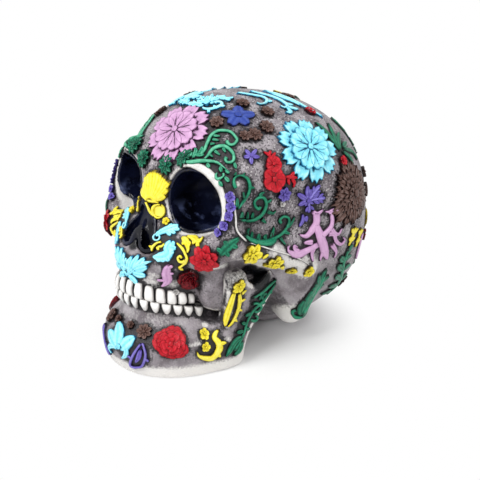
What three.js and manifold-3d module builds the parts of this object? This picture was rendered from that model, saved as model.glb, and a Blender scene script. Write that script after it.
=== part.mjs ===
// Sugar skull: a cast skull ornament covered with raised flowers, scrolls and leaves.
// Millimetres. X is the skull's left, Y its back, Z up. It stands on its jaw and on the base of its cranium.

import * as THREE from 'three';
import { mergeVertices } from 'three/addons/utils/BufferGeometryUtils.js';
import Module from 'manifold-3d';

const wasm = await Module();
wasm.setup();

// Clearances and facets
const SEAT_GAP = 0.45;
const TOUCH_GAP = 0.12;
const FACE_CELL = 6.6;
const VAULT_CELL = 11;
const JAW_CELL = 7.4;
const SOCKET_CELL = 9;
const NOSE_CELL = 5;
const FLOOR_TRIM = 8;
const SPARE = { side: 28, front: 17, back: 23, top: 22, under: 20 };
const CENTRE_SHIFT = -1.9;

// Search on the rounded surfaces
const SETTLE_REACH = 1.2;
const SETTLE_PASSES = 5;
const LEAST_SLOPE = 0.05;
const PROBE_STEP = 0.05;
const RAY_START = 160;
const RAY_PASSES = 60;
const RAY_SHARE = 0.7;
const SKYWARD = at(0, 0.3, 1).normalize();
const RADIANS = Math.PI / 180;

// Cranium: centres and half sizes of the rounded masses that flow into one another
const VAULT = { centre: at(0, 21, 89), radii: at(68, 76, 69), tilt: -8 };
const FOREHEAD = { centre: at(0, -14, 112), radii: at(53, 43, 42) };
const OCCIPUT = { centre: at(0, 43, 60), radii: at(64, 54, 55) };
const PARIETAL = { centre: at(30, 30, 98), radii: at(38, 40, 42) };
const BASE = { centre: at(0, 28, 31.5), radii: at(40, 38, 33) };
const TEMPLE = { centre: at(87, -16, 96), radii: at(25, 34, 28) };
const MASTOID = { from: at(51, 10, 46), to: at(49, 9, 25), fromRadius: 14, toRadius: 10 };
const VAULT_BLEND = 24;
const BASE_BLEND = 16;
const TEMPLE_BLEND = 12;
const FACE_BLEND = 5;

// Face: the rim of the eye socket, the cheek arch, the nose and the upper jaw
const RIM_PATH = [
  at(4, -51, 121), at(28, -51, 127), at(47, -43, 116), at(51, -46, 98), at(50, -48, 84), at(38, -57, 77),
];
const RIM_RADII = [6.5, 6.5, 6, 6.5, 9, 9.5];
const ARCH_PATH = [at(50, -46, 84), at(59, -24, 75), at(62, 8, 59)];
const ARCH_RADII = [8.5, 7, 6.5];
const NOSE_SIDE = { from: at(6, -48, 117), to: at(23, -54, 80), fromRadius: 5, toRadius: 10 };
const NOSE_BRIDGE = { from: at(0, -50, 119), to: at(0, -62, 101), fromRadius: 8, toRadius: 7.5 };
const MAXILLA = { centre: at(0, -50, 75), radii: at(35, 27, 23) };
const CHEEK_WALL = { centre: at(37, -45, 56), radii: at(8, 11, 24) };
const PALATE = { front: -82.5, rear: -34, half: 29, power: 2.4, middle: 57, reach: 16, back: -44 };
const BONE_BLEND = 6;
const JAW_BLEND = 9;
const PLAN_STEEPNESS = 0.85;
const MOUTH_BLEND = 1;

// Hollows of the face
const SOCKET = { centre: at(30, -50, 107), radii: at(20, 30, 20), yaw: 6, roll: 8 };
const NOSTRIL = { from: at(0, -66, 100.5), to: at(8.5, -71, 80), fromRadius: 3.6, toRadius: 8 };
const LINING = 1.8;

// Lower jaw
const BITE = { front: -88, height: 50.5, slope: 0.285, throat: -40 };
const CHIN = { height: 17, reach: 4.5, tall: 11, wide: 22 };
const JAW_FOOT = { front: -90.5, rear: -16, half: 49, power: 2.3, back: -33 };
const JAW_STEP = { front: 0.5, side: 2 };
const JAW_TOP = {
  front: PALATE.front + JAW_STEP.front, rear: PALATE.rear, half: PALATE.half + JAW_STEP.side,
  from: 20, to: 38,
};
const RAMUS = { centre: at(44, -27, 34), half: at(5, 21, 32), round: 4, lean: 10, heel: 6, rake: 0.66 };
const RAMUS_NOTCH = { centre: at(50, -25, 66), radii: at(18, 11, 13) };

// Teeth
const TEETH_PER_SIDE = 8;
const TOOTH_WIDTH = 6;
const TOOTH_DEPTH = 3.4;
const TOOTH_PINCH = { depth: 0.3, height: 0.1 };
const CROWN_PROFILE = [{ up: 0, out: 0.8 }, { up: 0.55, out: 1 }, { up: 1, out: 0.5 }];
const UPPER_CROWN = { front: 9.6, rear: 7 };
const LOWER_CROWN = { front: 8.6, rear: 6.2 };
const BITE_GAP = 0.25;
const STEPS_PER_TOOTH = 3;
const ARCH_STEPS = 30;

// Raised ornament
const EDGE_HEIGHT = 1.1;
const BLOOM_HEIGHT = 2.6;
const RIDGE_HEIGHT = 1.9;
const STEPS_PER_PETAL = 3;
const STEM_STEPS = 9;
const LEAF_STEPS = 3;
const LEAF_SPREAD = 55;
const LEAF_BEND = 40;
const LEAF_TIP = 0.12;
const SCROLL_TIP = 0.3;
const SCROLL_BULB = 0.25;
const CRANIUM_HEART = at(0, 8, 80);
const JAW_HEART = at(0, -40, 20);
const PAINT = {
  pink: 0xd99ad0, turquoise: 0x35b9dd, blue: 0x24379b, green: 0x12765a, red: 0xd0142b, crimson: 0x8e0f22,
  yellow: 0xf0d21c, purple: 0x5a3fb0, brown: 0x5f3b32, bone: 0x8b8589, ivory: 0xf1efea, ink: 0x0c0e20,
};
const ROUGHNESS = { bone: 0.7, ivory: 0.45, ink: 0.2, paint: 0.5 };

function at(x, y, z) {
  return new THREE.Vector3(x, y, z);
}

function mirrored(p) {
  return at(Math.abs(p.x), p.y, p.z);
}

// Distance-like values of simple shapes: negative inside, nought on the surface
function ellipsoid(p, { centre, radii }) {
  const scaled = p.clone().sub(centre).divide(radii);
  const nearness = scaled.length();
  return nearness * (nearness - 1) / Math.max(scaled.divide(radii).length(), 1e-9);
}

function turned(p, centre, axis, degrees) {
  return p.clone().sub(centre).applyAxisAngle(axis, -degrees * RADIANS).add(centre);
}

function capsule(p, { from, to, fromRadius, toRadius }) {
  const along = to.clone().sub(from);
  const share = THREE.MathUtils.clamp(p.clone().sub(from).dot(along) / along.lengthSq(), 0, 1);
  const foot = from.clone().addScaledVector(along, share);
  return p.distanceTo(foot) - THREE.MathUtils.lerp(fromRadius, toRadius, share);
}

function rod(p, path, radii) {
  const spans = path.slice(1).map((to, i) => (
    capsule(p, { from: path[i], to, fromRadius: radii[i], toRadius: radii[i + 1] })
  ));
  return Math.min(...spans);
}

function roundedBox(p, half, round) {
  const q = at(Math.abs(p.x), Math.abs(p.y), Math.abs(p.z)).sub(half).addScalar(round);
  const inside = Math.min(Math.max(q.x, q.y, q.z), 0);
  return q.max(at(0, 0, 0)).length() + inside - round;
}

// Outline of a dental arch in plan, as a squared ellipse with its open end at the rear
function archPlan(p, front, rear, half, power) {
  const across = Math.abs(p.x) / half;
  const along = Math.max((rear - p.y) / (rear - front), 0);
  return ((across ** power + along ** power) ** (1 / power) - 1) * half * PLAN_STEEPNESS;
}

// Joins and cuts with a rounded crease, `blend` wide
function melt(a, b, blend) {
  const overlap = Math.max(blend - Math.abs(a - b), 0) / blend;
  return Math.min(a, b) - overlap * overlap * blend / 4;
}

function carve(a, b, blend) {
  return -melt(-a, -b, blend);
}

// Height over the biting plane, which climbs towards the front
function biting(p) {
  const drop = (p.y - BITE.front) * BITE.slope;
  return (p.z - BITE.height + drop) / Math.hypot(1, BITE.slope);
}

function vaultField(p) {
  const side = mirrored(p);
  let d = ellipsoid(turned(p, VAULT.centre, at(1, 0, 0), VAULT.tilt), VAULT);
  d = melt(d, ellipsoid(p, FOREHEAD), VAULT_BLEND);
  d = melt(d, ellipsoid(p, OCCIPUT), VAULT_BLEND);
  d = melt(d, ellipsoid(side, PARIETAL), VAULT_BLEND);
  d = melt(d, ellipsoid(p, BASE), BASE_BLEND);
  return carve(d, -ellipsoid(side, TEMPLE), TEMPLE_BLEND);
}

function faceField(p) {
  const side = mirrored(p);
  const slab = Math.abs(p.z - PALATE.middle) - PALATE.reach;
  let palate = archPlan(p, PALATE.front, PALATE.rear, PALATE.half, PALATE.power);
  palate = carve(carve(palate, slab, BONE_BLEND), p.y - PALATE.back, BONE_BLEND);
  let d = rod(side, RIM_PATH, RIM_RADII);
  d = melt(d, rod(side, ARCH_PATH, ARCH_RADII), BONE_BLEND);
  d = melt(d, capsule(side, NOSE_SIDE), BONE_BLEND);
  d = melt(d, capsule(p, NOSE_BRIDGE), BONE_BLEND);
  d = melt(d, ellipsoid(p, MAXILLA), JAW_BLEND);
  d = melt(d, palate, JAW_BLEND);
  return melt(d, ellipsoid(side, CHEEK_WALL), JAW_BLEND);
}

// The whole cranium before its hollows, with the mouth cut off below the biting plane
function craniumField(p) {
  const mouth = Math.min(-biting(p), BITE.throat - p.y);
  let d = melt(vaultField(p), faceField(p), FACE_BLEND);
  d = melt(d, capsule(mirrored(p), MASTOID), 2 * FACE_BLEND);
  return carve(d, mouth, MOUTH_BLEND);
}

function socketField(p) {
  let q = turned(mirrored(p), SOCKET.centre, at(0, 1, 0), SOCKET.roll);
  q = turned(q, SOCKET.centre, at(0, 0, 1), SOCKET.yaw);
  return ellipsoid(q, SOCKET);
}

function noseField(p) {
  return melt(capsule(p, NOSTRIL), capsule(at(-p.x, p.y, p.z), NOSTRIL), BONE_BLEND);
}

// Jaw body, tapering from its foot to the narrower ridge that carries the teeth, without the bite cut
function jawBody(p) {
  const taper = THREE.MathUtils.smoothstep(p.z, JAW_TOP.from, JAW_TOP.to);
  const chin = Math.exp(-(((p.z - CHIN.height) / CHIN.tall) ** 2) - (p.x / CHIN.wide) ** 2);
  const front = THREE.MathUtils.lerp(JAW_FOOT.front, JAW_TOP.front, taper) - CHIN.reach * chin;
  const rear = THREE.MathUtils.lerp(JAW_FOOT.rear, JAW_TOP.rear, taper);
  const half = THREE.MathUtils.lerp(JAW_FOOT.half, JAW_TOP.half, taper);
  return carve(archPlan(p, front, rear, half, JAW_FOOT.power), p.y - JAW_FOOT.back, BONE_BLEND);
}

function jawField(p) {
  const side = mirrored(p);
  const body = carve(jawBody(p), Math.max(biting(p), -p.z - FLOOR_TRIM), BONE_BLEND / 2);
  const leaning = turned(side, RAMUS.centre, at(0, 1, 0), RAMUS.lean).sub(RAMUS.centre);
  const heel = (p.y - JAW_FOOT.back - (p.z - RAMUS.heel) * RAMUS.rake) / Math.hypot(1, RAMUS.rake);
  let ramus = carve(roundedBox(leaning, RAMUS.half, RAMUS.round), heel, BONE_BLEND / 2);
  ramus = carve(ramus, -ellipsoid(side, RAMUS_NOTCH), BONE_BLEND / 2);
  return melt(body, ramus, JAW_BLEND);
}

function slopeOf(field, p) {
  const along = [at(PROBE_STEP, 0, 0), at(0, PROBE_STEP, 0), at(0, 0, PROBE_STEP)];
  const rises = along.map((s) => field(p.clone().add(s)) - field(p.clone().sub(s)));
  return at(...rises).divideScalar(2 * PROBE_STEP);
}

// Draws a point along the field's slope until it lies at the given height over the surface.
// A level walk keeps the point at its own height over the floor.
function settle(field, point, height, { reach = Infinity, level = false } = {}) {
  const p = point.clone();
  for (let pass = 0; pass < SETTLE_PASSES; pass += 1) {
    const slope = slopeOf(field, p);
    if (level) slope.z = 0;
    const move = slope.multiplyScalar((field(p) - height) / Math.max(slope.lengthSq(), LEAST_SLOPE));
    p.sub(move.clampLength(0, reach));
  }
  return p;
}

// Closed skin of a field: one point for each piece of surface in a grid cell, settled on the surface.
// Inside corners of a cell that are joined along its edges share a piece, so thin gaps stay open.
function skin(field, grid) {
  const count = grid.map((lines) => lines.length);
  const index = ([i, j, k]) => (i * count[1] + j) * count[2] + k;
  const place3 = ([i, j, k]) => at(grid[0][i], grid[1][j], grid[2][k]);
  const value = new Float64Array(count[0] * count[1] * count[2]);
  eachNode(count, 0, (node) => {
    value[index(node)] = field(place3(node));
  });
  const axes = [1, 2, 4];
  const corner = ([i, j, k], bits) => [i + (bits & 1), j + ((bits >> 1) & 1), k + (bits >> 2)];
  const cornerValue = (node, bits) => value[index(corner(node, bits))];
  const points = [];
  const pointOf = new Map();

  // Lowest inside corner that an inside corner is joined to along the edges of its cell
  const pieceOf = (node, bits) => {
    const reached = new Set([bits]);
    reached.forEach((here) => axes.forEach((axis) => {
      if (cornerValue(node, here ^ axis) < 0) reached.add(here ^ axis);
    }));
    return reached;
  };
  const pointFor = (node, bits) => {
    const piece = pieceOf(node, bits);
    const key = index(node) * 8 + Math.min(...piece);
    if (!pointOf.has(key)) {
      const crossings = [];
      piece.forEach((here) => axes.forEach((axis) => {
        const [inner, outer] = [cornerValue(node, here), cornerValue(node, here ^ axis)];
        if (outer < 0) return;
        const [from, to] = [here, here ^ axis].map((c) => place3(corner(node, c)));
        crossings.push(from.lerp(to, inner / (inner - outer)));
      }));
      const middle = crossings.reduce((sum, c) => sum.add(c), at(0, 0, 0)).divideScalar(crossings.length);
      pointOf.set(key, points.length);
      points.push(settle(field, middle, 0, { reach: SETTLE_REACH }));
    }
    return pointOf.get(key);
  };

  const triangles = [];
  eachNode(count, 1, (node) => axes.forEach((axis, n) => {
    const [here, there] = [cornerValue(node, 0), cornerValue(node, axis)];
    if (here < 0 === there < 0) return;
    const [u, v] = [axes[(n + 1) % 3], axes[(n + 2) % 3]];
    const inner = here < 0 ? 0 : axis;
    const around = [u | v, v, 0, u].map((back) => {
      const neighbour = node.map((c, m) => c - ((back >> m) & 1));
      return pointFor(neighbour, inner | back);
    });
    triangles.push(...split(here < 0 ? around : around.reverse(), points));
  }));
  return closedMesh(points, triangles);
}

// Places of the grid lines along one axis, with a wider step past a turning point
function gridLines(low, high, step, turn = high, widerStep = step) {
  const lines = [low];
  while (lines.at(-1) < high) lines.push(lines.at(-1) + (lines.at(-1) < turn ? step : widerStep));
  return lines;
}

function evenGrid(low, high, cell) {
  return ['x', 'y', 'z'].map((axis) => gridLines(low[axis], high[axis], cell));
}

function eachNode(count, margin, visit) {
  for (let i = margin; i < count[0] - margin; i += 1) {
    for (let j = margin; j < count[1] - margin; j += 1) {
      for (let k = margin; k < count[2] - margin; k += 1) visit([i, j, k]);
    }
  }
}

// Two triangles of a quad, cut along its shorter diagonal
function split([a, b, c, d], points) {
  const straight = points[a].distanceTo(points[c]) <= points[b].distanceTo(points[d]);
  return straight ? [a, b, c, a, c, d] : [a, b, d, b, c, d];
}

function closedMesh(points, triangles) {
  const geometry = new THREE.BufferGeometry().setFromPoints(points);
  geometry.setIndex(triangles);
  return geometry;
}

// The same skin a little further out, or further in where the height is negative
function parallel(geometry, field, height) {
  const position = geometry.attributes.position;
  const points = Array.from({ length: position.count }, (_, n) => (
    settle(field, new THREE.Vector3().fromBufferAttribute(position, n), height)
  ));
  return closedMesh(points, [...geometry.index.array]);
}

function solid(geometry) {
  return new wasm.Manifold(new wasm.Mesh({
    numProp: 3,
    vertProperties: Float32Array.from(geometry.attributes.position.array),
    triVerts: Uint32Array.from(geometry.index.array),
  }));
}

function geometryOf(body) {
  const { vertProperties, triVerts } = body.getMesh();
  const geometry = new THREE.BufferGeometry();
  geometry.setAttribute('position', new THREE.BufferAttribute(vertProperties, 3));
  geometry.setIndex(new THREE.BufferAttribute(triVerts, 1));
  return geometry;
}

// Everything below the surface that the skull stands on
function underFloor() {
  const box = new THREE.BoxGeometry(HIGH.x - LOW.x, HIGH.y - LOW.y, -2 * LOW.z).translate(0, 0, LOW.z);
  box.deleteAttribute('normal');
  box.deleteAttribute('uv');
  return solid(mergeVertices(box));
}

const group = new THREE.Group();
group.position.y = CENTRE_SHIFT;

function place(name, geometry, colour, roughness = ROUGHNESS.paint) {
  const material = new THREE.MeshStandardMaterial({ color: colour, roughness, metalness: 0 });
  const mesh = new THREE.Mesh(geometry, material);
  mesh.name = name;
  group.add(mesh);
}

// Castings
const LOW = at(-VAULT.radii.x - SPARE.side, JAW_FOOT.front - CHIN.reach - SPARE.front, -SPARE.under);
const HIGH = VAULT.centre.clone().add(VAULT.radii).add(at(SPARE.side, SPARE.back, SPARE.top));
const floor = underFloor();
const craniumSkin = skin(craniumField, [
  gridLines(LOW.x, HIGH.x, (FACE_CELL + VAULT_CELL) / 2),
  gridLines(LOW.y, HIGH.y, FACE_CELL, CRANIUM_HEART.y, VAULT_CELL),
  gridLines(LOW.z, HIGH.z, FACE_CELL, FOREHEAD.centre.z, VAULT_CELL),
]);
const fullCranium = solid(craniumSkin).subtract(floor);
const jawSkin = skin(jawField, evenGrid(LOW, HIGH, JAW_CELL));
const jaw = solid(jawSkin)
  .subtract(floor)
  .subtract(solid(parallel(craniumSkin, craniumField, SEAT_GAP)));
place('lower_jaw', geometryOf(jaw), PAINT.bone, ROUGHNESS.bone);

// Hollows of the face, each with a thin dark lining that ends flush with the bone
const socketReach = SOCKET.radii.clone().addScalar(2 * SOCKET_CELL);
const socketSkin = skin(socketField, evenGrid(
  SOCKET.centre.clone().sub(socketReach),
  SOCKET.centre.clone().add(socketReach),
  SOCKET_CELL,
));
const noseReach = NOSTRIL.to.x + NOSTRIL.toRadius + 2 * NOSE_CELL;
const noseSkin = skin(noseField, evenGrid(
  at(-noseReach, NOSTRIL.to.y - noseReach, NOSTRIL.to.z - noseReach),
  at(noseReach, NOSTRIL.from.y + noseReach, NOSTRIL.from.z + noseReach),
  NOSE_CELL,
));

function liningOf(hollowSkin, field) {
  const outside = solid(parallel(hollowSkin, field, -SEAT_GAP));
  const inside = solid(parallel(hollowSkin, field, -SEAT_GAP - LINING));
  return outside.subtract(inside).intersect(fullCranium);
}

const leftSocket = solid(socketSkin);
const cranium = fullCranium
  .subtract(leftSocket)
  .subtract(leftSocket.mirror([1, 0, 0]))
  .subtract(solid(noseSkin));
place('cranium', geometryOf(cranium), PAINT.bone, ROUGHNESS.bone);
const leftLining = liningOf(socketSkin, socketField);
place('socket_lining_left', geometryOf(leftLining), PAINT.ink, ROUGHNESS.ink);
place('socket_lining_right', geometryOf(leftLining.mirror([1, 0, 0])), PAINT.ink, ROUGHNESS.ink);
place('nose_lining', geometryOf(liningOf(noseSkin, noseField)), PAINT.ink, ROUGHNESS.ink);

// Keeps an applied piece clear of the facets of the castings
const castings = solid(parallel(craniumSkin, craniumField, TOUCH_GAP))
  .add(solid(parallel(jawSkin, jawField, TOUCH_GAP)));
function seated(geometry) {
  return geometryOf(solid(geometry).subtract(castings));
}

// Closes a sheet of surface points, given as rows, between its underside and its top
function closeRows(under, over) {
  const wide = under[0].length;
  const points = [...under.flat(), ...over.flat()];
  const top = under.length * wide;
  const triangles = [];
  for (let i = 0; i + 1 < under.length; i += 1) {
    for (let j = 0; j + 1 < wide; j += 1) {
      const quad = [i * wide + j, (i + 1) * wide + j, (i + 1) * wide + j + 1, i * wide + j + 1];
      triangles.push(...split(quad.map((n) => n + top), points));
      triangles.push(...split(quad.reverse(), points));
    }
  }
  const rim = rimOf(under.length, wide);
  rim.forEach((a, n) => {
    const b = rim[(n + 1) % rim.length];
    triangles.push(...split([a, b, b + top, a + top], points));
  });
  return closedMesh(points, triangles);
}

// The border of a grid of points, in order
function rimOf(long, wide) {
  const rim = [];
  for (let i = 0; i < long; i += 1) rim.push(i * wide);
  for (let j = 1; j < wide; j += 1) rim.push((long - 1) * wide + j);
  for (let i = long - 2; i >= 0; i -= 1) rim.push(i * wide + wide - 1);
  for (let j = wide - 2; j > 0; j -= 1) rim.push(j);
  return rim;
}

// Middle line of a tooth row in plan, from the last right molar to the last left one
function toothArch() {
  const squared = (value) => Math.sign(value) * Math.abs(value) ** (2 / PALATE.power);
  const points = Array.from({ length: 2 * ARCH_STEPS + 1 }, (_, n) => {
    const angle = (n / ARCH_STEPS - 1) * 90 * RADIANS;
    const reach = (PALATE.rear - PALATE.front) * squared(Math.cos(angle));
    return new THREE.Vector2(PALATE.half * squared(Math.sin(angle)), PALATE.rear - reach);
  });
  return new THREE.SplineCurve(points);
}

// Height of the line where the teeth meet
function biteLevel(y) {
  return BITE.height - (y - BITE.front) * BITE.slope;
}

// Crowns grow lower from the middle line to the last molar
function crownHeight(crown, along) {
  return THREE.MathUtils.lerp(crown.front, crown.rear, Math.abs(along) / (TEETH_PER_SIDE * TOOTH_WIDTH));
}

// A row of teeth: crowns side by side along the arch, on the bone that carries them
function toothRow(field, crown, upwards) {
  const arch = toothArch();
  const length = arch.getLength();
  const halfRow = TEETH_PER_SIDE * TOOTH_WIDTH;
  const steps = TEETH_PER_SIDE * STEPS_PER_TOOTH;
  const profile = upwards ? CROWN_PROFILE : CROWN_PROFILE.toReversed();
  const under = [];
  const over = [];
  for (let n = -steps; n <= steps; n += 1) {
    const along = n / steps * halfRow;
    const bulge = Math.abs(Math.sin(Math.PI * along / TOOTH_WIDTH));
    const full = crownHeight(crown, along);
    const tall = full * (1 - TOOTH_PINCH.height * (1 - bulge));
    const deep = TOOTH_DEPTH * (1 - TOOTH_PINCH.depth * (1 - bulge));
    const spot = arch.getPointAt(0.5 + along / length);
    const level = biteLevel(spot.y);
    const rowAt = (depth) => profile.map(({ up, out }) => {
      const rise = (BITE_GAP + up * tall) * (upwards ? 1 : -1);
      return settle(field, at(spot.x, spot.y, level + rise), SEAT_GAP + out * depth, { level: true });
    });
    under.push(rowAt(0));
    over.push(rowAt(deep));
  }
  return closeRows(under, over);
}

const upperTeeth = toothRow(faceField, UPPER_CROWN, true);
place('upper_teeth', seated(upperTeeth), PAINT.ivory, ROUGHNESS.ivory);
const lowerTeeth = toothRow(jawBody, LOWER_CROWN, false);
place('lower_teeth', seated(lowerTeeth), PAINT.ivory, ROUGHNESS.ivory);

// Where a line from the heart of the casting, at a bearing from the front and a lift, leaves its surface
function spotOn(field, heart, bearing, lift) {
  const way = at(Math.sin(bearing) * Math.cos(lift), -Math.cos(bearing) * Math.cos(lift), Math.sin(lift));
  const p = heart.clone().addScaledVector(way, RAY_START);
  for (let pass = 0; pass < RAY_PASSES; pass += 1) p.addScaledVector(way, -RAY_SHARE * field(p));
  return p;
}

// A spot on the upper jaw above one tooth, counted from the middle line, and clear of its crown
function spotOverTooth(field, tooth, clear) {
  const arch = toothArch();
  const along = tooth * TOOTH_WIDTH;
  const { x, y } = arch.getPointAt(0.5 + along / arch.getLength());
  const top = biteLevel(y) + BITE_GAP + crownHeight(UPPER_CROWN, along);
  return settle(field, at(x, y, top + clear), 0, { level: true });
}

// A sheet on the casting: points of its own plane are laid on the surface round one spot
function sheetOn({ jaw: onJaw = false, bearing, lift, tooth, clear, turn = 0, side = 1 }) {
  const field = onJaw ? jawField : craniumField;
  const heart = onJaw ? JAW_HEART : CRANIUM_HEART;
  const spot = tooth
    ? spotOverTooth(field, side * tooth, clear)
    : spotOn(field, heart, side * bearing * RADIANS, lift * RADIANS);
  const out = slopeOf(field, spot).normalize();
  const upward = SKYWARD.clone().projectOnPlane(out).normalize();
  const across = upward.clone().cross(out);
  const angle = turn * RADIANS;
  return (u, v, height) => {
    const x = (u * Math.cos(angle) - v * Math.sin(angle)) * side;
    const y = u * Math.sin(angle) + v * Math.cos(angle);
    const p = spot.clone().addScaledVector(across, x).addScaledVector(upward, y);
    return settle(field, p, height);
  };
}

// Flower seen from above: rings of points round a middle, lobed into petals and domed in tiers
function bloom(motif) {
  const { size, petals, cut, tiers = [1, 0.5], backs = [1], point = 1, squash = 1, side = 1 } = motif;
  const lay = sheetOn(motif);
  const around = petals * STEPS_PER_PETAL;
  const ring = (share, height) => Array.from({ length: around }, (_, n) => {
    const angle = n / around * 2 * Math.PI;
    const valley = Math.abs(Math.cos(n / STEPS_PER_PETAL * Math.PI)) ** (2 * point);
    const r = size * share * (1 - cut * valley);
    return lay(r * Math.sin(angle) * squash, r * Math.cos(angle), height);
  });
  const rise = (share) => SEAT_GAP + THREE.MathUtils.lerp(BLOOM_HEIGHT, EDGE_HEIGHT, share);
  const rings = [
    ...backs.map((share) => ring(share, SEAT_GAP)).reverse(),
    ...tiers.map((share) => ring(share, rise(share))),
  ];
  const points = [lay(0, 0, SEAT_GAP), ...rings.flat(), lay(0, 0, SEAT_GAP + BLOOM_HEIGHT)];
  const triangles = [];
  const facing = (a, b, c) => triangles.push(...(side > 0 ? [a, b, c] : [a, c, b]));
  const last = points.length - 1;
  for (let n = 0; n < around; n += 1) {
    const m = (n + 1) % around;
    facing(0, 1 + n, 1 + m);
    for (let row = 1; row + around < last; row += around) {
      facing(row + n, row + around + n, row + around + m);
      facing(row + n, row + around + m, row + m);
    }
    facing(last, last - around + m, last - around + n);
  }
  return closedMesh(points, triangles);
}

// Middle line of a stroke in its own plane: its heading turns by `bend`, and faster and faster by `curl`
function stroke({ length, bend = 0, curl = 0, heading = 0, from = [0, 0] }, steps) {
  const line = [];
  let [u, v] = from;
  for (let n = 0; n <= steps; n += 1) {
    const s = n / steps;
    const angle = (heading + bend * s + curl * s ** 3) * RADIANS;
    line.push({ s, u, v, angle });
    u += Math.sin(angle) * length / steps;
    v += Math.cos(angle) * length / steps;
  }
  return line;
}

// Half width along a stroke: a leaf swells in the middle, a scroll swells near its start and ends in a bulb
const swell = {
  leaf: (s) => LEAF_TIP + (1 - LEAF_TIP) * plump(s),
  scroll: (s) => SCROLL_TIP + (1 - SCROLL_TIP) * plump(Math.sqrt(s)) + SCROLL_BULB * s ** 8,
};

function plump(s) {
  return Math.max(Math.sin(Math.PI * s), 0) ** 0.8;
}

function ribbon(lay, line, width, shape) {
  const under = [];
  const over = [];
  line.forEach(({ s, u, v, angle }) => {
    const half = width / 2 * swell[shape](s);
    const spread = [-1, 0, 1].map((k) => [u + k * half * Math.cos(angle), v - k * half * Math.sin(angle)]);
    under.push(spread.map(([a, b]) => lay(a, b, SEAT_GAP)));
    over.push(spread.map(([a, b], k) => lay(a, b, SEAT_GAP + (k === 1 ? RIDGE_HEIGHT : EDGE_HEIGHT))));
  });
  return { under, over };
}

// Scrolls and sprays: a stem and the leaves that branch from it, joined into one piece
function spray(motif) {
  const { size, width, bend = 0, curl = 0, leaves = [], shape = 'scroll', side = 1 } = motif;
  const lay = sheetOn(motif);
  const stem = stroke({ length: size, bend, curl }, STEM_STEPS);
  const middle = stem.reduce((sum, p) => [sum[0] + p.u / stem.length, sum[1] + p.v / stem.length], [0, 0]);
  const centred = (line) => line.map((p) => ({ ...p, u: p.u - middle[0], v: p.v - middle[1] }));
  const strokes = [{ line: centred(stem), wide: width, shape }];
  leaves.forEach(({ station, hand, length }) => {
    const root = stem[station];
    const heading = root.angle / RADIANS + hand * LEAF_SPREAD;
    const line = stroke({ length, bend: hand * LEAF_BEND, heading, from: [root.u, root.v] }, LEAF_STEPS);
    strokes.push({ line: centred(line), wide: width, shape: 'leaf' });
  });
  const bodies = strokes.map(({ line, wide, shape: form }) => {
    const { under, over } = ribbon(lay, line, wide, form);
    const turn = (rows) => (side > 0 ? rows.map((row) => [...row].reverse()) : rows);
    return solid(closeRows(turn(under), turn(over)));
  });
  return geometryOf(bodies.reduce((joined, body) => joined.add(body)));
}

// Two leaves of a spray, one on each hand of the stem, at the given steps along it
function sprig(first, second, length) {
  return [{ station: first, hand: 1, length }, { station: second, hand: -1, length }];
}

// Kinds of ornament
const DAHLIA = { make: bloom, size: 21, petals: 9, cut: 0.2, tiers: [1, 0.68, 0.34], backs: [1, 0.5] };
const FLOWER = { make: bloom, size: 9, petals: 5, cut: 0.4 };
const LILY = { make: bloom, size: 13, petals: 5, cut: 0.62, point: 0.5 };
const ROSE = { make: bloom, size: 10, petals: 6, cut: 0.16 };
const FAN = { make: bloom, size: 11, petals: 7, cut: 0.3, squash: 0.75 };
const LEAF = { make: spray, size: 30, width: 9, shape: 'leaf', bend: 30 };
const CURL = { make: spray, size: 44, width: 5, bend: 60, curl: 260 };

// Ornament on the middle line: its bearing from the front, its lift, and its turn on the surface, in degrees
const SINGLE_MOTIFS = {
  dahlia_pink_forehead: { ...DAHLIA, bearing: 6, lift: 49, size: 22, colour: 'pink' },
  scroll_turquoise_crown: {
    ...CURL, bearing: 2, lift: 75, turn: 100, width: 6, leaves: sprig(3, 5, 14), colour: 'turquoise',
  },
  shell_yellow_nose: { ...FAN, bearing: 3, lift: 23, squash: 0.9, colour: 'yellow' },
  lily_turquoise_chin: { ...LILY, jaw: true, bearing: 3, lift: 2, size: 14, colour: 'turquoise' },
  dahlia_turquoise_back: { ...DAHLIA, bearing: 180, lift: 20, colour: 'turquoise' },
  flower_red_back: { ...FLOWER, bearing: 180, lift: -16, size: 12, colour: 'red' },
  lily_yellow_back: { ...LILY, bearing: 180, lift: 56, colour: 'yellow' },
};

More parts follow.
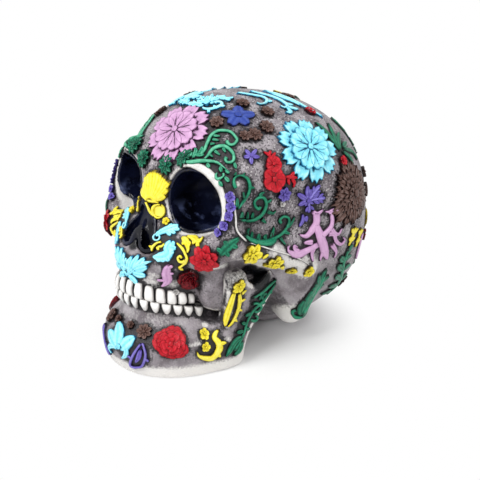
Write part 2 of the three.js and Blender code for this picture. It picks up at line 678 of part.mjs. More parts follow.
// Ornament that both sides have, mirrored, with any place of its own that the right one takes.
// On the lip the place is the number of the tooth below, and the clearance to its crown.
const PAIRED_MOTIFS = {
  flower_blue_crown: {
    ...FLOWER, bearing: 47, lift: 60, size: 11, colour: 'blue', right: { bearing: 140, lift: 52 },
  },
  dahlia_turquoise_side: { ...DAHLIA, bearing: 92, lift: 41, colour: 'turquoise' },
  fan_green_side: { ...FAN, bearing: 126, lift: 36, turn: -40, colour: 'green' },
  scroll_green_brow: {
    ...CURL, bearing: 46, lift: 41, turn: 70, size: 38, leaves: sprig(2, 4, 11), colour: 'green',
  },
  flower_red_temple: { ...FLOWER, bearing: 64, lift: 32, petals: 6, colour: 'red' },
  lily_purple_side: { ...LILY, bearing: 86, lift: 19, turn: 20, colour: 'purple' },
  dahlia_brown_side: { ...DAHLIA, bearing: 113, lift: 11, size: 19, colour: 'brown' },
  scroll_pink_side: {
    ...CURL, bearing: 91, lift: -6, turn: 20, size: 52, width: 6, leaves: sprig(2, 4, 16), colour: 'pink',
  },
  leaf_green_low: { ...LEAF, bearing: 101, lift: -28, turn: -25, colour: 'green' },
  leaf_green_rear: { ...LEAF, bearing: 121, lift: -24, turn: -10, colour: 'green' },
  scroll_green_temple: {
    ...CURL, bearing: 57, lift: 18, turn: 150, size: 36, leaves: sprig(2, 4, 11), colour: 'green',
  },
  scroll_green_arch: { ...CURL, bearing: 70, lift: 5, turn: -70, size: 30, colour: 'green' },
  swirl_turquoise_top: {
    ...CURL, bearing: 114, lift: 63, turn: -155, size: 58, width: 6, bend: -30, curl: -60,
    colour: 'turquoise',
  },
  flower_yellow_arch: { ...FLOWER, bearing: 53, lift: -2, size: 6, colour: 'yellow' },
  flower_red_cheek: { ...FLOWER, bearing: 33, lift: -2, size: 8.5, petals: 6, colour: 'red' },
  rose_crimson_cheek: { ...ROSE, tooth: 6.75, clear: 11.1, size: 7, colour: 'crimson' },
  leaf_turquoise_lip: { ...LEAF, tooth: 1.57, clear: 9.5, turn: 60, size: 21, colour: 'turquoise' },
  rose_red_jaw: {
    ...ROSE, jaw: true, bearing: 40, lift: 4, size: 10.5, colour: 'red', right: { bearing: 62 },
  },
  scroll_yellow_jaw: {
    ...CURL, jaw: true, bearing: 67, lift: 0, turn: 10, size: 30, colour: 'yellow', right: { bearing: 90 },
  },
  crescent_yellow_ramus: {
    ...LEAF, jaw: true, bearing: 85, lift: 23, turn: 30, size: 28, width: 6, bend: 90, colour: 'yellow',
  },
  scroll_purple_back: {
    ...CURL, bearing: 154, lift: 34, turn: -30, size: 50, width: 6, leaves: sprig(3, 5, 12), colour: 'purple',
  },
  flower_yellow_back: { ...FLOWER, bearing: 146, lift: -6, size: 10, colour: 'yellow' },
};

function ornament(name, motif) {
  place(name, seated(motif.make(motif)), PAINT[motif.colour]);
}

Object.entries(SINGLE_MOTIFS).forEach(([name, motif]) => ornament(name, motif));
Object.entries(PAIRED_MOTIFS).forEach(([name, motif]) => {
  ornament(`${name}_left`, motif);
  ornament(`${name}_right`, { ...motif, ...motif.right, side: -1 });
});

export default group;
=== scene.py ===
# %% [markdown]
# # A painted sugar skull
# This lesson dresses a cast skull ornament: two grey castings, glossy dark hollows, two rows of
# teeth, and raised flowers, scrolls and leaves in bright paint. Every shape is worked out with
# numpy from a few sizes and formulas, and every finish is a small procedural material.

# %% The frame, and the tools used here
import math

import bpy
import numpy as np
from mathutils import Matrix, Vector


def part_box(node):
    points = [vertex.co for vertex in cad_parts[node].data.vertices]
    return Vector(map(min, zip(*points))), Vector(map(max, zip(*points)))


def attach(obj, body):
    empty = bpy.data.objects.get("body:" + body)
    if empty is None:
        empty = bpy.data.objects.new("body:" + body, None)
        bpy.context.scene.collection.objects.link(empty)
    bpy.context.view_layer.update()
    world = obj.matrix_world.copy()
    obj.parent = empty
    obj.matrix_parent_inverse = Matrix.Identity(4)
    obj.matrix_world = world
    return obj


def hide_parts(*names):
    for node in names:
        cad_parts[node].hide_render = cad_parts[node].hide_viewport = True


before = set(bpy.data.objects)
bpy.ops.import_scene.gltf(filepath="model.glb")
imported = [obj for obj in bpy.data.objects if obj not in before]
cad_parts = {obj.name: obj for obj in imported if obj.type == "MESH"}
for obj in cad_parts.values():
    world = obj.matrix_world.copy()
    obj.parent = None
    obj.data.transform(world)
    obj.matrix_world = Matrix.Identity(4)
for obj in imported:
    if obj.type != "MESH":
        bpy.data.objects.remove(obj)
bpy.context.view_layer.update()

print("pieces to dress:", len(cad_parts))

# %% [markdown]
# ## Units
# All shapes are worked out in millimetres, because that is how a maker measures such an ornament.
# They are turned into metres, and moved back a little so that the skull's middle lies at the
# origin, only when a mesh is made. Points are kept as arrays of three rows: X, Y and Z.

# %% Millimetres and points
MM = 0.001
MIDDLE_SHIFT = -1.9


def at(x, y, z):
    """One point, as a column that can be added to any row of points."""
    return np.array([[x], [y], [z]], float)


def length(rows):
    """Length of each column, by the sum of squares."""
    return np.sqrt((rows ** 2).sum(0))


print("from the origin to (30, 40, 0):", length(at(30, 40, 0))[0], "mm")

# %% [markdown]
# ## The skull as a field
# A skull has no flat face to start from. It could be sculpted by hand, but here it is a field: a
# number at every point in space, negative inside and positive outside. Rounded masses are melted
# into one another and hollows are carved out, and the surface lies where the field is nought. The
# same field later tells each flower where the bone is and which way it faces.

# %% Simple solids
SQUARENESS = 2.4


def ellipsoid(p, centre, radii):
    """How many radii out the point is, less one, turned into millimetres by the slope there."""
    q = (p - centre) / radii
    nearness = length(q)
    return nearness * (nearness - 1) / np.maximum(length(q / radii), 1e-9)


def turned(p, centre, axis, degrees):
    """The point as seen by a shape that is turned by the given angle about its centre."""
    rotation = np.array(Matrix.Rotation(math.radians(-degrees), 3, axis))
    return rotation @ (p - centre) + centre


def capsule(p, start, end, start_radius, end_radius):
    """Distance to the nearest point of a line, less a radius that changes along the line."""
    along = end - start
    share = np.clip(((p - start) * along).sum(0) / (along ** 2).sum(), 0, 1)
    radius = start_radius + (end_radius - start_radius) * share
    return length(p - start - along * share) - radius


def rod(p, path, radii):
    """The nearest of the capsules between the points of a path."""
    spans = zip(path, path[1:], radii, radii[1:])
    return np.minimum.reduce([capsule(p, *span) for span in spans])


def rounded_box(p, half, fillet):
    """Distance to a box whose edges are rounded by a fillet."""
    q = np.abs(p) - half + fillet
    return length(np.maximum(q, 0)) + np.minimum(q.max(0), 0) - fillet


def arch_plan(p, front, rear, half, power=SQUARENESS):
    """A squared half ellipse seen from above, open towards the back."""
    across = np.abs(p[0]) / half
    along = np.maximum((rear - p[1]) / (rear - front), 0)
    steepness = 0.85 * half
    return ((across ** power + along ** power) ** (1 / power) - 1) * steepness


def melt(a, b, blend):
    """The nearer of two shapes, with the crease between them filled over a width of `blend`."""
    overlap = np.maximum(blend - np.abs(a - b), 0) / blend
    return np.minimum(a, b) - overlap ** 2 * blend / 4


def carve(a, b, blend):
    """What lies in both shapes, with the edge between them rounded."""
    return -melt(-a, -b, blend)


def mirrored(p):
    """The point on the skull's left side, since both sides are alike."""
    return np.stack([np.abs(p[0]), p[1], p[2]])


def ease(low, high, value):
    """A smooth step from nought at `low` to one at `high`."""
    t = np.clip((value - low) / (high - low), 0, 1)
    return t * t * (3 - 2 * t)


off_ball = ellipsoid(at(8, 0, 0), centre=at(0, 0, 0), radii=at(5, 5, 5))
print("8 mm from the middle of a ball of 5 mm radius is", off_ball[0].round(2), "mm off it")

# %% Sizes of the bone
BONE_BLEND = 6
JAW_BLEND = 9
VAULT_BLEND = 24
FACE_BLEND = 5
BASE_BLEND = 16
TEMPLE_BLEND = 12
MASTOID_BLEND = 10
BRAIN_CASE = dict(centre=at(0, 21, 89), radii=at(68, 76, 69))
BRAIN_CASE_TILT = -8
FOREHEAD = dict(centre=at(0, -14, 112), radii=at(53, 43, 42))
BACK_OF_HEAD = dict(centre=at(0, 43, 60), radii=at(64, 54, 55))
CROWN_SIDE = dict(centre=at(30, 30, 98), radii=at(38, 40, 42))
SKULL_BASE = dict(centre=at(0, 28, 31.5), radii=at(40, 38, 33))
TEMPLE_HOLLOW = dict(centre=at(87, -16, 96), radii=at(25, 34, 28))
RIM_PATH = [at(4, -51, 121), at(28, -51, 127), at(47, -43, 116), at(51, -46, 98), at(50, -48, 84),
            at(38, -57, 77)]
RIM_RADII = [6.5, 6.5, 6, 6.5, 9, 9.5]
ARCH_PATH = [at(50, -46, 84), at(59, -24, 75), at(62, 8, 59)]
ARCH_RADII = [8.5, 7, 6.5]
NOSE_FLANK = (at(6, -48, 117), at(23, -54, 80), 5, 10)
NOSE_BRIDGE = (at(0, -50, 119), at(0, -62, 101), 8, 7.5)
MUZZLE = dict(centre=at(0, -50, 75), radii=at(35, 27, 23))
BEHIND_MOLARS = dict(centre=at(37, -45, 56), radii=at(8, 11, 24))
MASTOID = (at(51, 10, 46), at(49, 9, 25), 14, 10)
PALATE = dict(front=-82.5, rear=-34, half=29)
PALATE_LEVEL, PALATE_TALL, PALATE_END = 57, 16, -44
BITE = dict(front=-88, height=50.5, slope=0.285, throat=-40)
SOCKET = dict(centre=at(30, -50, 107), radii=at(20, 30, 20))
SOCKET_ROLL, SOCKET_YAW = 8, 6
NOSTRIL = (at(0, -66, 100.5), at(8.5, -71, 80), 3.6, 8)
MOUTH_EDGE, SOCKET_EDGE, NOSE_EDGE, FLOOR_EDGE = 1, 1.6, 1.4, 3
print("brain case:", 2 * BRAIN_CASE["radii"].ravel(), "mm")

# %% Sizes of the lower jaw
JAW = dict(front=-90.5, rear=-16, half=49, end=-33, squareness=2.3)
JAW_TAPER = dict(low=20, high=38, front=8.5, side=18)
CHIN = dict(height=17, tall=11, wide=22, swell=4.5)
BRANCH_MIDDLE = at(44, -27, 34)
BRANCH_HALF = at(5, 21, 32)
BRANCH_FILLET, BRANCH_LEAN = 4, 10
HEEL = dict(y=-33, height=6, slope=0.66)
JAW_NOTCH = dict(centre=at(50, -25, 66), radii=at(18, 11, 13))
SEAT_GAP = 0.45
JAW_BELOW_FLOOR, JAW_FLOOR_EDGE = 8, 2.5
print("lower jaw:", 2 * JAW["half"], "mm wide")


# %% Cranium and lower jaw as fields
def bite_level(y):
    """Height of the plane where the teeth meet, which climbs towards the front."""
    return BITE["height"] - (y - BITE["front"]) * BITE["slope"]


def biting(p):
    """Distance over the plane where the teeth meet."""
    return (p[2] - bite_level(p[1])) / math.hypot(1, BITE["slope"])


def vault(p):
    """The brain case: five rounded masses, with the temples pressed in."""
    side = mirrored(p)
    d = ellipsoid(turned(p, BRAIN_CASE["centre"], "X", BRAIN_CASE_TILT), **BRAIN_CASE)
    d = melt(d, ellipsoid(p, **FOREHEAD), VAULT_BLEND)
    d = melt(d, ellipsoid(p, **BACK_OF_HEAD), VAULT_BLEND)
    d = melt(d, ellipsoid(side, **CROWN_SIDE), VAULT_BLEND)
    d = melt(d, ellipsoid(p, **SKULL_BASE), BASE_BLEND)
    return carve(d, -ellipsoid(side, **TEMPLE_HOLLOW), TEMPLE_BLEND)


def face(p):
    """The rims of the eye sockets, the cheek arches, the nose and the upper jaw."""
    side = mirrored(p)
    palate = carve(arch_plan(p, **PALATE), np.abs(p[2] - PALATE_LEVEL) - PALATE_TALL, BONE_BLEND)
    palate = carve(palate, p[1] - PALATE_END, BONE_BLEND)
    d = rod(side, RIM_PATH, RIM_RADII)
    d = melt(d, rod(side, ARCH_PATH, ARCH_RADII), BONE_BLEND)
    d = melt(d, capsule(side, *NOSE_FLANK), BONE_BLEND)
    d = melt(d, capsule(p, *NOSE_BRIDGE), BONE_BLEND)
    d = melt(d, ellipsoid(p, **MUZZLE), JAW_BLEND)
    d = melt(d, palate, JAW_BLEND)
    return melt(d, ellipsoid(side, **BEHIND_MOLARS), JAW_BLEND)


def bone(p):
    """The whole cranium before its hollows, cut off below the biting plane."""
    mouth = np.minimum(-biting(p), BITE["throat"] - p[1])
    d = melt(vault(p), face(p), FACE_BLEND)
    d = melt(d, capsule(mirrored(p), *MASTOID), MASTOID_BLEND)
    return carve(d, mouth, MOUTH_EDGE)


def socket(p):
    """The hollow of an eye: an egg that is rolled and turned a little outwards."""
    q = turned(mirrored(p), SOCKET["centre"], "Y", SOCKET_ROLL)
    return ellipsoid(turned(q, SOCKET["centre"], "Z", SOCKET_YAW), **SOCKET)


def nose(p):
    """The hollow of the nose: two leaning drops that melt together at the top."""
    return melt(capsule(p, *NOSTRIL), capsule(p * at(-1, 1, 1), *NOSTRIL), BONE_BLEND)


def cranium(p):
    """The bone with its hollows, standing on the floor."""
    d = carve(bone(p), -socket(p), SOCKET_EDGE)
    d = carve(d, -nose(p), NOSE_EDGE)
    return carve(d, -p[2], FLOOR_EDGE)


def jaw_body(p):
    """The horseshoe of the lower jaw: it tapers upwards, and the chin swells in front."""
    taper = ease(JAW_TAPER["low"], JAW_TAPER["high"], p[2])
    chin = np.exp(-((p[2] - CHIN["height"]) / CHIN["tall"]) ** 2 - (p[0] / CHIN["wide"]) ** 2)
    front = JAW["front"] + JAW_TAPER["front"] * taper - CHIN["swell"] * chin
    inward = JAW_TAPER["side"] * taper
    horseshoe = arch_plan(p, front, JAW["rear"] - inward, JAW["half"] - inward, JAW["squareness"])
    return carve(horseshoe, p[1] - JAW["end"], BONE_BLEND)


def jaw_bone(p):
    """The jaw with its two rising branches, each a leaning plate with a notch at the top."""
    side = mirrored(p)
    ends = np.maximum(biting(p), -p[2] - JAW_BELOW_FLOOR)
    body = carve(jaw_body(p), ends, BONE_BLEND / 2)
    leaning = turned(side, BRANCH_MIDDLE, "Y", BRANCH_LEAN) - BRANCH_MIDDLE
    heel = (p[1] - HEEL["y"] - (p[2] - HEEL["height"]) * HEEL["slope"]) / math.hypot(1, HEEL["slope"])
    branch = carve(rounded_box(leaning, BRANCH_HALF, BRANCH_FILLET), heel, BONE_BLEND / 2)
    branch = carve(branch, -ellipsoid(side, **JAW_NOTCH), BONE_BLEND / 2)
    return melt(body, branch, JAW_BLEND)


def jaw(p):
    """The jaw standing on the floor, a fine gap away from the cranium."""
    return carve(np.maximum(jaw_bone(p), SEAT_GAP - bone(p)), -p[2], JAW_FLOOR_EDGE)


print("the teeth meet", BITE["height"], "mm up in front,", bite_level(PALATE["rear"]), "at the back")

# %% [markdown]
# ## From a field to a surface
# A surface can be drawn round a field in several ways. Here every cell of a fine grid that the
# surface passes through gets one point, the mean of the places where the cell's edges cross the
# surface, and each crossed edge joins the four points around it. A few steps down the slope of the
# field then set every point on the surface.

# %% Slope, settling and skins
def probed(field, p, step):
    """Values of the field one step to either side of the points, along X, Y and Z."""
    probes = [p + sign * step * np.eye(3)[:, [axis]] for axis in range(3) for sign in (1, -1)]
    return field(np.concatenate(probes, axis=1)).reshape(3, 2, -1)


def slope(field, p, step=0.05):
    """Rise of the field along X, Y and Z."""
    values = probed(field, p, step)
    return (values[:, 0] - values[:, 1]) / (2 * step)


def settle(field, p, passes, reach=np.inf, level=False):
    """Moves points down the slope until they lie on the surface, or sideways only if `level` is set."""
    for _ in range(passes):
        rise = slope(field, p)
        if level:
            rise[2] = 0
        move = rise * field(p) / np.maximum((rise ** 2).sum(0), 0.05)
        p = p - move * np.minimum(1, reach / np.maximum(length(move), 1e-9))
    return p


def field_on_grid(field, high, low_y, cell):
    """Values on an even grid. Only the left half is worked out, and the right half is its mirror."""
    low = (cell / 2, low_y, -2 * cell)
    lines = [np.arange(first, last, cell) for first, last in zip(low, high)]
    y, z = (a.ravel() for a in np.meshgrid(lines[1], lines[2], indexing="ij"))
    planes = [field(np.stack([np.full_like(y, x), y, z])) for x in lines[0]]
    left = np.stack(planes).reshape([len(line) for line in lines])
    corner = np.array([-lines[0][-1], lines[1][0], lines[2][0]])
    return np.concatenate([left[::-1], left]), corner


def skin(field, high, low_y, cell):
    """One point for each crossed cell of the grid, and one quad for each crossed edge."""
    value, origin = field_on_grid(field, high, low_y, cell)
    inside = value < 0
    shape = np.array(value.shape) - 1
    steps = [np.array([i, j, k]) for i in (0, 1) for j in (0, 1) for k in (0, 1)]
    corners = [inside[i:i + shape[0], j:j + shape[1], k:k + shape[2]] for i, j, k in steps]
    filled = sum(corner.astype(np.int8) for corner in corners)
    crossed = (filled > 0) & (filled < 8)
    cells = np.argwhere(crossed)
    number = np.full(crossed.shape, -1)
    number[crossed] = np.arange(len(cells))
    total = np.zeros(cells.shape)
    hits = np.zeros((len(cells), 1))
    edges = [(a, b) for a in steps for b in steps if (b - a).sum() == 1 and (b - a).min() == 0]
    for a, b in edges:
        here, there = value[tuple((cells + a).T)], value[tuple((cells + b).T)]
        cut = ((here < 0) != (there < 0))[:, None]
        share = (here / np.where(here == there, 1, here - there))[:, None]
        total += cut * (a + share * (b - a))
        hits += cut
    points = settle(field, (origin + (cells + total / hits) * cell).T, passes=3, reach=cell / 2)
    return points, quads_of(inside, number)


def quads_of(inside, number):
    """Joins the four cells around each crossed grid edge, facing outwards."""
    quads = []
    for axis in range(3):
        here = np.moveaxis(inside, axis, 0)
        found = np.argwhere(here[:-1, 1:-1, 1:-1] != here[1:, 1:-1, 1:-1]) + [0, 1, 1]
        others = [n for n in range(3) if n != axis]
        node = np.zeros_like(found)
        node[:, axis], node[:, others[0]], node[:, others[1]] = found.T
        back_u, back_v = (-np.eye(3, dtype=int)[(axis + n) % 3] for n in (1, 2))
        ring = [back_u + back_v, back_v, 0 * back_u, back_u]
        quad = np.stack([number[tuple((node + step).T)] for step in ring], axis=1)
        leaving = inside[tuple(node.T)]
        quads.append(np.where(leaving[:, None], quad, quad[:, ::-1]))
    return np.concatenate(quads)


print("top of the bone:", settle(bone, at(0, 20, 170), passes=8)[2].round(1), "mm up")

# %% Meshes from arrays
def mesh_of(name, points, faces, attributes, crease=180):
    """A mesh from rows of points in millimetres, and arrays of faces with any number of corners."""
    mesh = bpy.data.meshes.new(name)
    corners = np.concatenate([face.ravel() for face in faces])
    sizes = np.concatenate([np.full(len(face), face.shape[1]) for face in faces])
    mesh.vertices.add(points.shape[1])
    mesh.vertices.foreach_set("co", ((points + at(0, MIDDLE_SHIFT, 0)) * MM).T.ravel())
    mesh.loops.add(len(corners))
    mesh.loops.foreach_set("vertex_index", corners)
    mesh.polygons.add(len(sizes))
    mesh.polygons.foreach_set("loop_start", np.concatenate([[0], np.cumsum(sizes)[:-1]]))
    mesh.update(calc_edges=True)
    mesh.validate()
    mesh.shade_smooth()
    if crease < 180:
        mesh.set_sharp_from_angle(angle=math.radians(crease))
    for key, values in attributes.items():
        mesh.attributes.new(key, "FLOAT", "POINT").data.foreach_set("value", values.astype(np.float32))
    return mesh


PIECES = {}


def add_piece(name, mesh, finish, replaced=()):
    """Puts a finished mesh into the scene, riding on the skull's one body."""
    mesh.materials.append(finish)
    piece = bpy.data.objects.new(name, mesh)
    bpy.context.scene.collection.objects.link(piece)
    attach(piece, "root")
    if replaced:
        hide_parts(*replaced)
    PIECES[name] = piece


# %% [markdown]
# ## Laying ornament on the bone
# Each flower or scroll is drawn flat, as a potter would roll out a sprig of clay, and then pressed
# onto the skull. A patch is a small lattice of points on the bone with the direction that faces
# outwards at each. A drawing gives places `u` to the right and `v` upwards and a height, and the
# patch bends them over the bone. Everything is made of thin closed shells, whose borders drop a
# little into the casting so that no gap shows.

# %% Patches
CRANIUM_HEART = at(0, 8, 80)
JAW_HEART = at(0, -40, 20)
SKYWARD = np.array([0, 0.3, 1])
SINK = 0.7
PATCH_STEP = 1.2
AFAR = 160.0


def walk_in(field, heart, way, start, passes):
    """Walks in along lines towards the heart, from a distance, until each line meets the bone."""
    p = heart + start * way
    for _ in range(passes):
        p = p - 0.7 * field(p) * way
    return p


def way_to(bearing, lift):
    """The direction at a bearing from the front, round to the skull's left, and a lift, in degrees."""
    turn, climb = math.radians(bearing), math.radians(lift)
    return math.sin(turn) * math.cos(climb), -math.cos(turn) * math.cos(climb), math.sin(climb)


def spot_by_bearing(field, heart, bearing, lift):
    """The spot at a bearing and a lift, as seen from the heart of the casting."""
    return walk_in(field, heart, at(*way_to(bearing, lift)), AFAR, passes=60)


def spot_of_node(field, node):
    """The point of the bone nearest to the middle of a piece of the frame."""
    low, high = (np.array(corner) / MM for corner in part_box(node))
    middle = ((low + high) / 2)[:, None] - at(0, MIDDLE_SHIFT, 0)
    return settle(field, middle, passes=8)


class Patch:
    """A lattice round one spot: a flat sheet that touches the bone there, drawn in towards the heart."""

    def __init__(self, field, heart, spot, side, reach):
        out = slope(field, spot)[:, 0]
        out /= np.linalg.norm(out)
        upward = SKYWARD - out * (SKYWARD @ out)
        upward /= np.linalg.norm(upward)
        across = np.cross(upward, out) * side
        count = math.ceil(reach / PATCH_STEP) + 1
        lines = np.arange(-count, count + 1) * PATCH_STEP
        u, v = (a.ravel() for a in np.meshgrid(lines, lines, indexing="ij"))
        way = spot - heart + across[:, None] * u + upward[:, None] * v
        outside = length(way) + 8
        points = walk_in(field, heart, way / length(way), outside, passes=30)
        rise = slope(field, points)
        wide = len(lines)
        self.points = points.reshape(3, wide, wide)
        self.outward = (rise / length(rise)).reshape(3, wide, wide)
        self.count, self.side = count, side

    def lay(self, u, v, height):
        """Point and outward direction by the four lattice points around, then up by the height."""
        last = 2 * self.count - 1e-6
        a = np.clip(u / PATCH_STEP + self.count, 0, last)
        b = np.clip(v / PATCH_STEP + self.count, 0, last)
        i, j = a.astype(int), b.astype(int)
        f, g = a - i, b - j

        def mixed(rows):
            near = rows[:, i, j] * (1 - g) + rows[:, i, j + 1] * g
            far = rows[:, i + 1, j] * (1 - g) + rows[:, i + 1, j + 1] * g
            return near * (1 - f) + far * f

        return mixed(self.points) + mixed(self.outward) * height


class Relief:
    """Gathers the closed shells of one piece: a top that follows its drawing, and one face below."""

    def __init__(self):
        self.points, self.tones, self.faces, self.count = [], [], [], 0

    def lay(self, patch, sheets):
        """Presses each drawn sheet (u, v, height, tone) onto the patch. The border drops into the bone,
        and the row beside it is dark, as an outline."""
        for sheet in sheets:
            u, v, height, tone = np.broadcast_arrays(*sheet)
            steps = [np.minimum(np.arange(n), np.arange(n)[::-1]) for n in height.shape]
            inset = np.minimum(steps[0][:, None], steps[1][None, :])
            tone = tone * np.choose(np.minimum(inset, 2), [0, 0.3, 1])
            self.shell(patch.lay(u, v, np.where(inset == 0, -SINK, height)), tone, patch.side)

    def shell(self, grid, tone, side):
        """One grid of points as a closed shell. The quads at its corners are split through the corner, so
        that neither half lies on the face below."""
        rows, columns = tone.shape
        index = self.count + np.arange(rows * columns).reshape(rows, columns)
        quads = np.stack([index[:-1, :-1], index[:-1, 1:], index[1:, 1:], index[1:, :-1]], -1).reshape(-1, 4)
        border = np.concatenate([index[0, :-1], index[:-1, -1], index[-1, :0:-1], index[:0:-1, 0]])
        ends = [0, len(quads) - 1, columns - 2, len(quads) - columns + 1]
        rising = quads[ends[:2]][:, [0, 1, 2, 0, 2, 3]]
        falling = quads[ends[2:]][:, [1, 2, 3, 1, 3, 0]]
        halves = np.concatenate([rising, falling]).reshape(-1, 3)
        faces = [np.delete(quads, ends, axis=0), halves, border[None, ::-1]]
        self.faces += [face[:, ::side] for face in faces]
        self.points.append(grid.reshape(3, -1))
        self.tones.append(np.clip(tone, 0, 1).ravel())
        self.count += rows * columns

    def mesh(self, name, crease=50):
        """The whole piece as one mesh, with the tone kept for the paint."""
        points, tones = np.concatenate(self.points, 1), np.concatenate(self.tones)
        return mesh_of(name, points, self.faces, {"tone": tones}, crease)


def reach_of(sheets):
    """How far the drawing goes from its middle."""
    return max(float(np.abs(a).max()) for sheet in sheets for a in sheet[:2]) + 1


print("middle of the forehead:", spot_by_bearing(bone, CRANIUM_HEART, 0, 30).ravel().round(1))

# %% [markdown]
# ## Two ways to draw
# Apart from the buttons in the hearts of flowers, all the ornament comes from two drawings. A petal
# runs from the heart to its tip, with a rounded, pointed or scalloped end. A strand is a ridge carried
# along a line: thin and long it is a stem or a scroll, short and wide it is a leaf. Both could be cut
# from images, but as formulas they stay sharp at any distance.

# %% Petals
def spaced(count, wall=0.06):
    """Even steps from -1 to 1, with one more close to each end where the wall of a shell drops."""
    return np.concatenate([[-1], np.linspace(-1 + wall, 1 - wall, count), [1]])


def petal(angle, inner, outer, half, low=1.2, high=1.6, tip=0.3, lobes=0, scallop=0.0, cup=0.35,
          groove=0.35, waist=0.35, dimple=0.0):
    """s runs from the heart to the tip and t across. The end draws back by `tip` towards its corners
    and by `scallop` between its lobes, pointed if odd in number and round if even. The surface
    climbs from low to high, with raised borders (`cup`), a crease along the middle (`groove`) and
    two small hollows beside it (`dimple`)."""
    s = (spaced(9)[:, None] + 1) / 2
    t = spaced(15)[None, :]
    lobed = np.abs(np.sin(lobes * np.pi / 2 * t))
    end = outer * (1 - tip * t ** 2 - scallop * (lobed if lobes % 2 else 1 - lobed))
    r = inner + (end - inner) * s
    wide = half * (waist + (1 - waist) * np.sin(np.pi / 2 * np.minimum(s / 0.8, 1)))
    crease = np.exp(-(t / 0.12) ** 2) * (1 - s ** 4)
    hollow = np.exp(-((s - 0.5) / 0.14) ** 2 - ((np.abs(t) - 0.4) / 0.2) ** 2)
    height = low + (high - low) * s + cup * t ** 2 * s - groove * crease - dimple * hollow
    # Tone: painted shade in the crease and the hollows, and a painted highlight towards the tip and on the
    # raised borders.
    tone = 0.35 + 0.35 * s + 0.3 * t ** 2 * s - 0.9 * groove * crease - 1.2 * dimple * hollow
    turn = math.radians(angle)
    u, v = wide * t + 0 * r, r + 0 * t
    return u * math.cos(turn) + v * math.sin(turn), v * math.cos(turn) - u * math.sin(turn), height, tone


def ring(count, start=0, **form):
    """Petals evenly spaced round the heart."""
    return [petal(start + n * 360 / count, **form) for n in range(count)]


def button(radius, low, high, seeds=5):
    """The heart of a flower: a disc with a domed, seeded top."""
    a, b = spaced(9)[None, :], spaced(9)[:, None]
    u, v = radius * a * np.sqrt(1 - b ** 2 / 2), radius * b * np.sqrt(1 - a ** 2 / 2)
    seeded = np.cos(seeds * np.pi * a) * np.cos(seeds * np.pi * b)
    # The tone follows the seeds: a painted highlight on the raised seeds and painted shade between them.
    return u, v, low + (high - low) * (1 - (a ** 2 + b ** 2) / 2) + 0.12 * seeded, 0.55 + 0.3 * seeded


def moved(sheets, *places):
    """The same drawing at each of some other places."""
    return [(a + u, b + v, h, tone) for u, v in places for a, b, h, tone in sheets]


def stretched(sheets, times):
    """The same drawing made taller."""
    return [(u, v * times, h, tone) for u, v, h, tone in sheets]


def flipped(sheets):
    """The same drawing with left and right changed over."""
    return [tuple(a[::-1] for a in np.broadcast_arrays(-u, v, h, tone)) for u, v, h, tone in sheets]


print("points in a petal:", petal(0, inner=1, outer=10, half=4)[2].size)

# %% Flowers
def dahlia(size):
    """A tier of nine broad petals with three points, and on it eight round ones with a notch."""
    below = dict(outer=size, high=1.5, tip=0.13, lobes=3, scallop=0.1, waist=0.7, dimple=0.5, groove=0.2)
    above = dict(outer=0.67 * size, low=2.2, high=2.7, tip=0.25, lobes=2, scallop=0.08, groove=0.5, waist=0.2)
    return (ring(9, inner=0.3 * size, half=0.235 * size, **below)
            + ring(8, start=15, inner=0.04 * size, half=0.225 * size, **above)
            + [button(0.09 * size, 2.4, 3.2)])


def tiered(size, tiers, wave, sway, turn, inner, **form):
    """Tiers of petals of uneven length and heading. Each tier gives their number, length, half width and
    two heights, and lies `turn` degrees on from the tier below."""
    sheets = []
    for n, (count, outer, half, low, high) in enumerate(tiers):
        for k in range(count):
            uneven = math.sin(wave[0] * k + wave[1] * n)
            angle = (k + sway * uneven) * 360 / count + turn * n
            long = outer * size * (1 + 0.12 * uneven)
            sheets.append(petal(angle, inner * size, long, half * size, low, high, **form))
    return sheets


def aster(size):
    """Four tiers of many narrow petals, as dense as fur."""
    tiers = [(count, outer, outer * 2.7 / count, low, low + 0.6)
             for count, outer, low in [(19, 1.0, 1.1), (17, 0.82, 1.6), (13, 0.6, 2.1), (9, 0.38, 2.6)]]
    form = dict(tip=0.3, lobes=3, scallop=0.12, groove=0.5)
    return tiered(size, tiers, (5.3, 2.1), 0.25, 11, 0.08, **form) + [button(0.12 * size, 2.8, 3.6)]


def rose(size):
    """Four tiers of broad petals that overlap round a tight heart."""
    tiers = [(7, 1.0, 0.5, 1.2, 2.0), (6, 0.8, 0.42, 1.9, 2.7), (5, 0.58, 0.34, 2.5, 3.3),
             (3, 0.32, 0.24, 3.1, 3.8)]
    form = dict(tip=0.3, lobes=2, scallop=0.06, cup=0.5, groove=0.3)
    return tiered(size, tiers, (4.1, 2.7), 0.3, 37, 0.02, **form) + [button(0.12 * size, 3.3, 3.9)]


def flower(size, petals=5, tip=0.42, high=1.9, lobes=2, scallop=0.08, start=0):
    """One ring of petals round a button."""
    form = dict(high=high, tip=tip, lobes=lobes, scallop=scallop, groove=0.35, waist=0.12)
    blades = ring(petals, start, inner=0.04 * size, outer=size, half=size * 2.25 / petals, **form)
    return blades + [button(0.2 * size, 1.4, 2.4)]


def double_flower(size, petals=6):
    """A wide flower with a smaller one on top, turned by half a petal."""
    form = dict(low=2.0, high=2.6, tip=0.3, groove=0.35)
    top = ring(petals, 180 / petals, inner=0.04 * size, outer=0.62 * size, half=size * 1.4 / petals, **form)
    return flower(size, petals, high=1.6)[:-1] + top + [button(0.15 * size, 2.2, 3.1)]


print("sheets in a dahlia:", len(dahlia(22)), "and in a rose:", len(rose(10)))

# %% Strands
SCROLL = (0.35, 0.8, 1, 1, 0.9, 0.75, 0.7, 0.9)
LEAF = (0.15, 0.75, 1, 0.95, 0.65, 0.06)
BLADE = (0.9, 1, 0.85, 0.6, 0.08)
EVEN = (0.7, 1, 1, 1, 0.7)


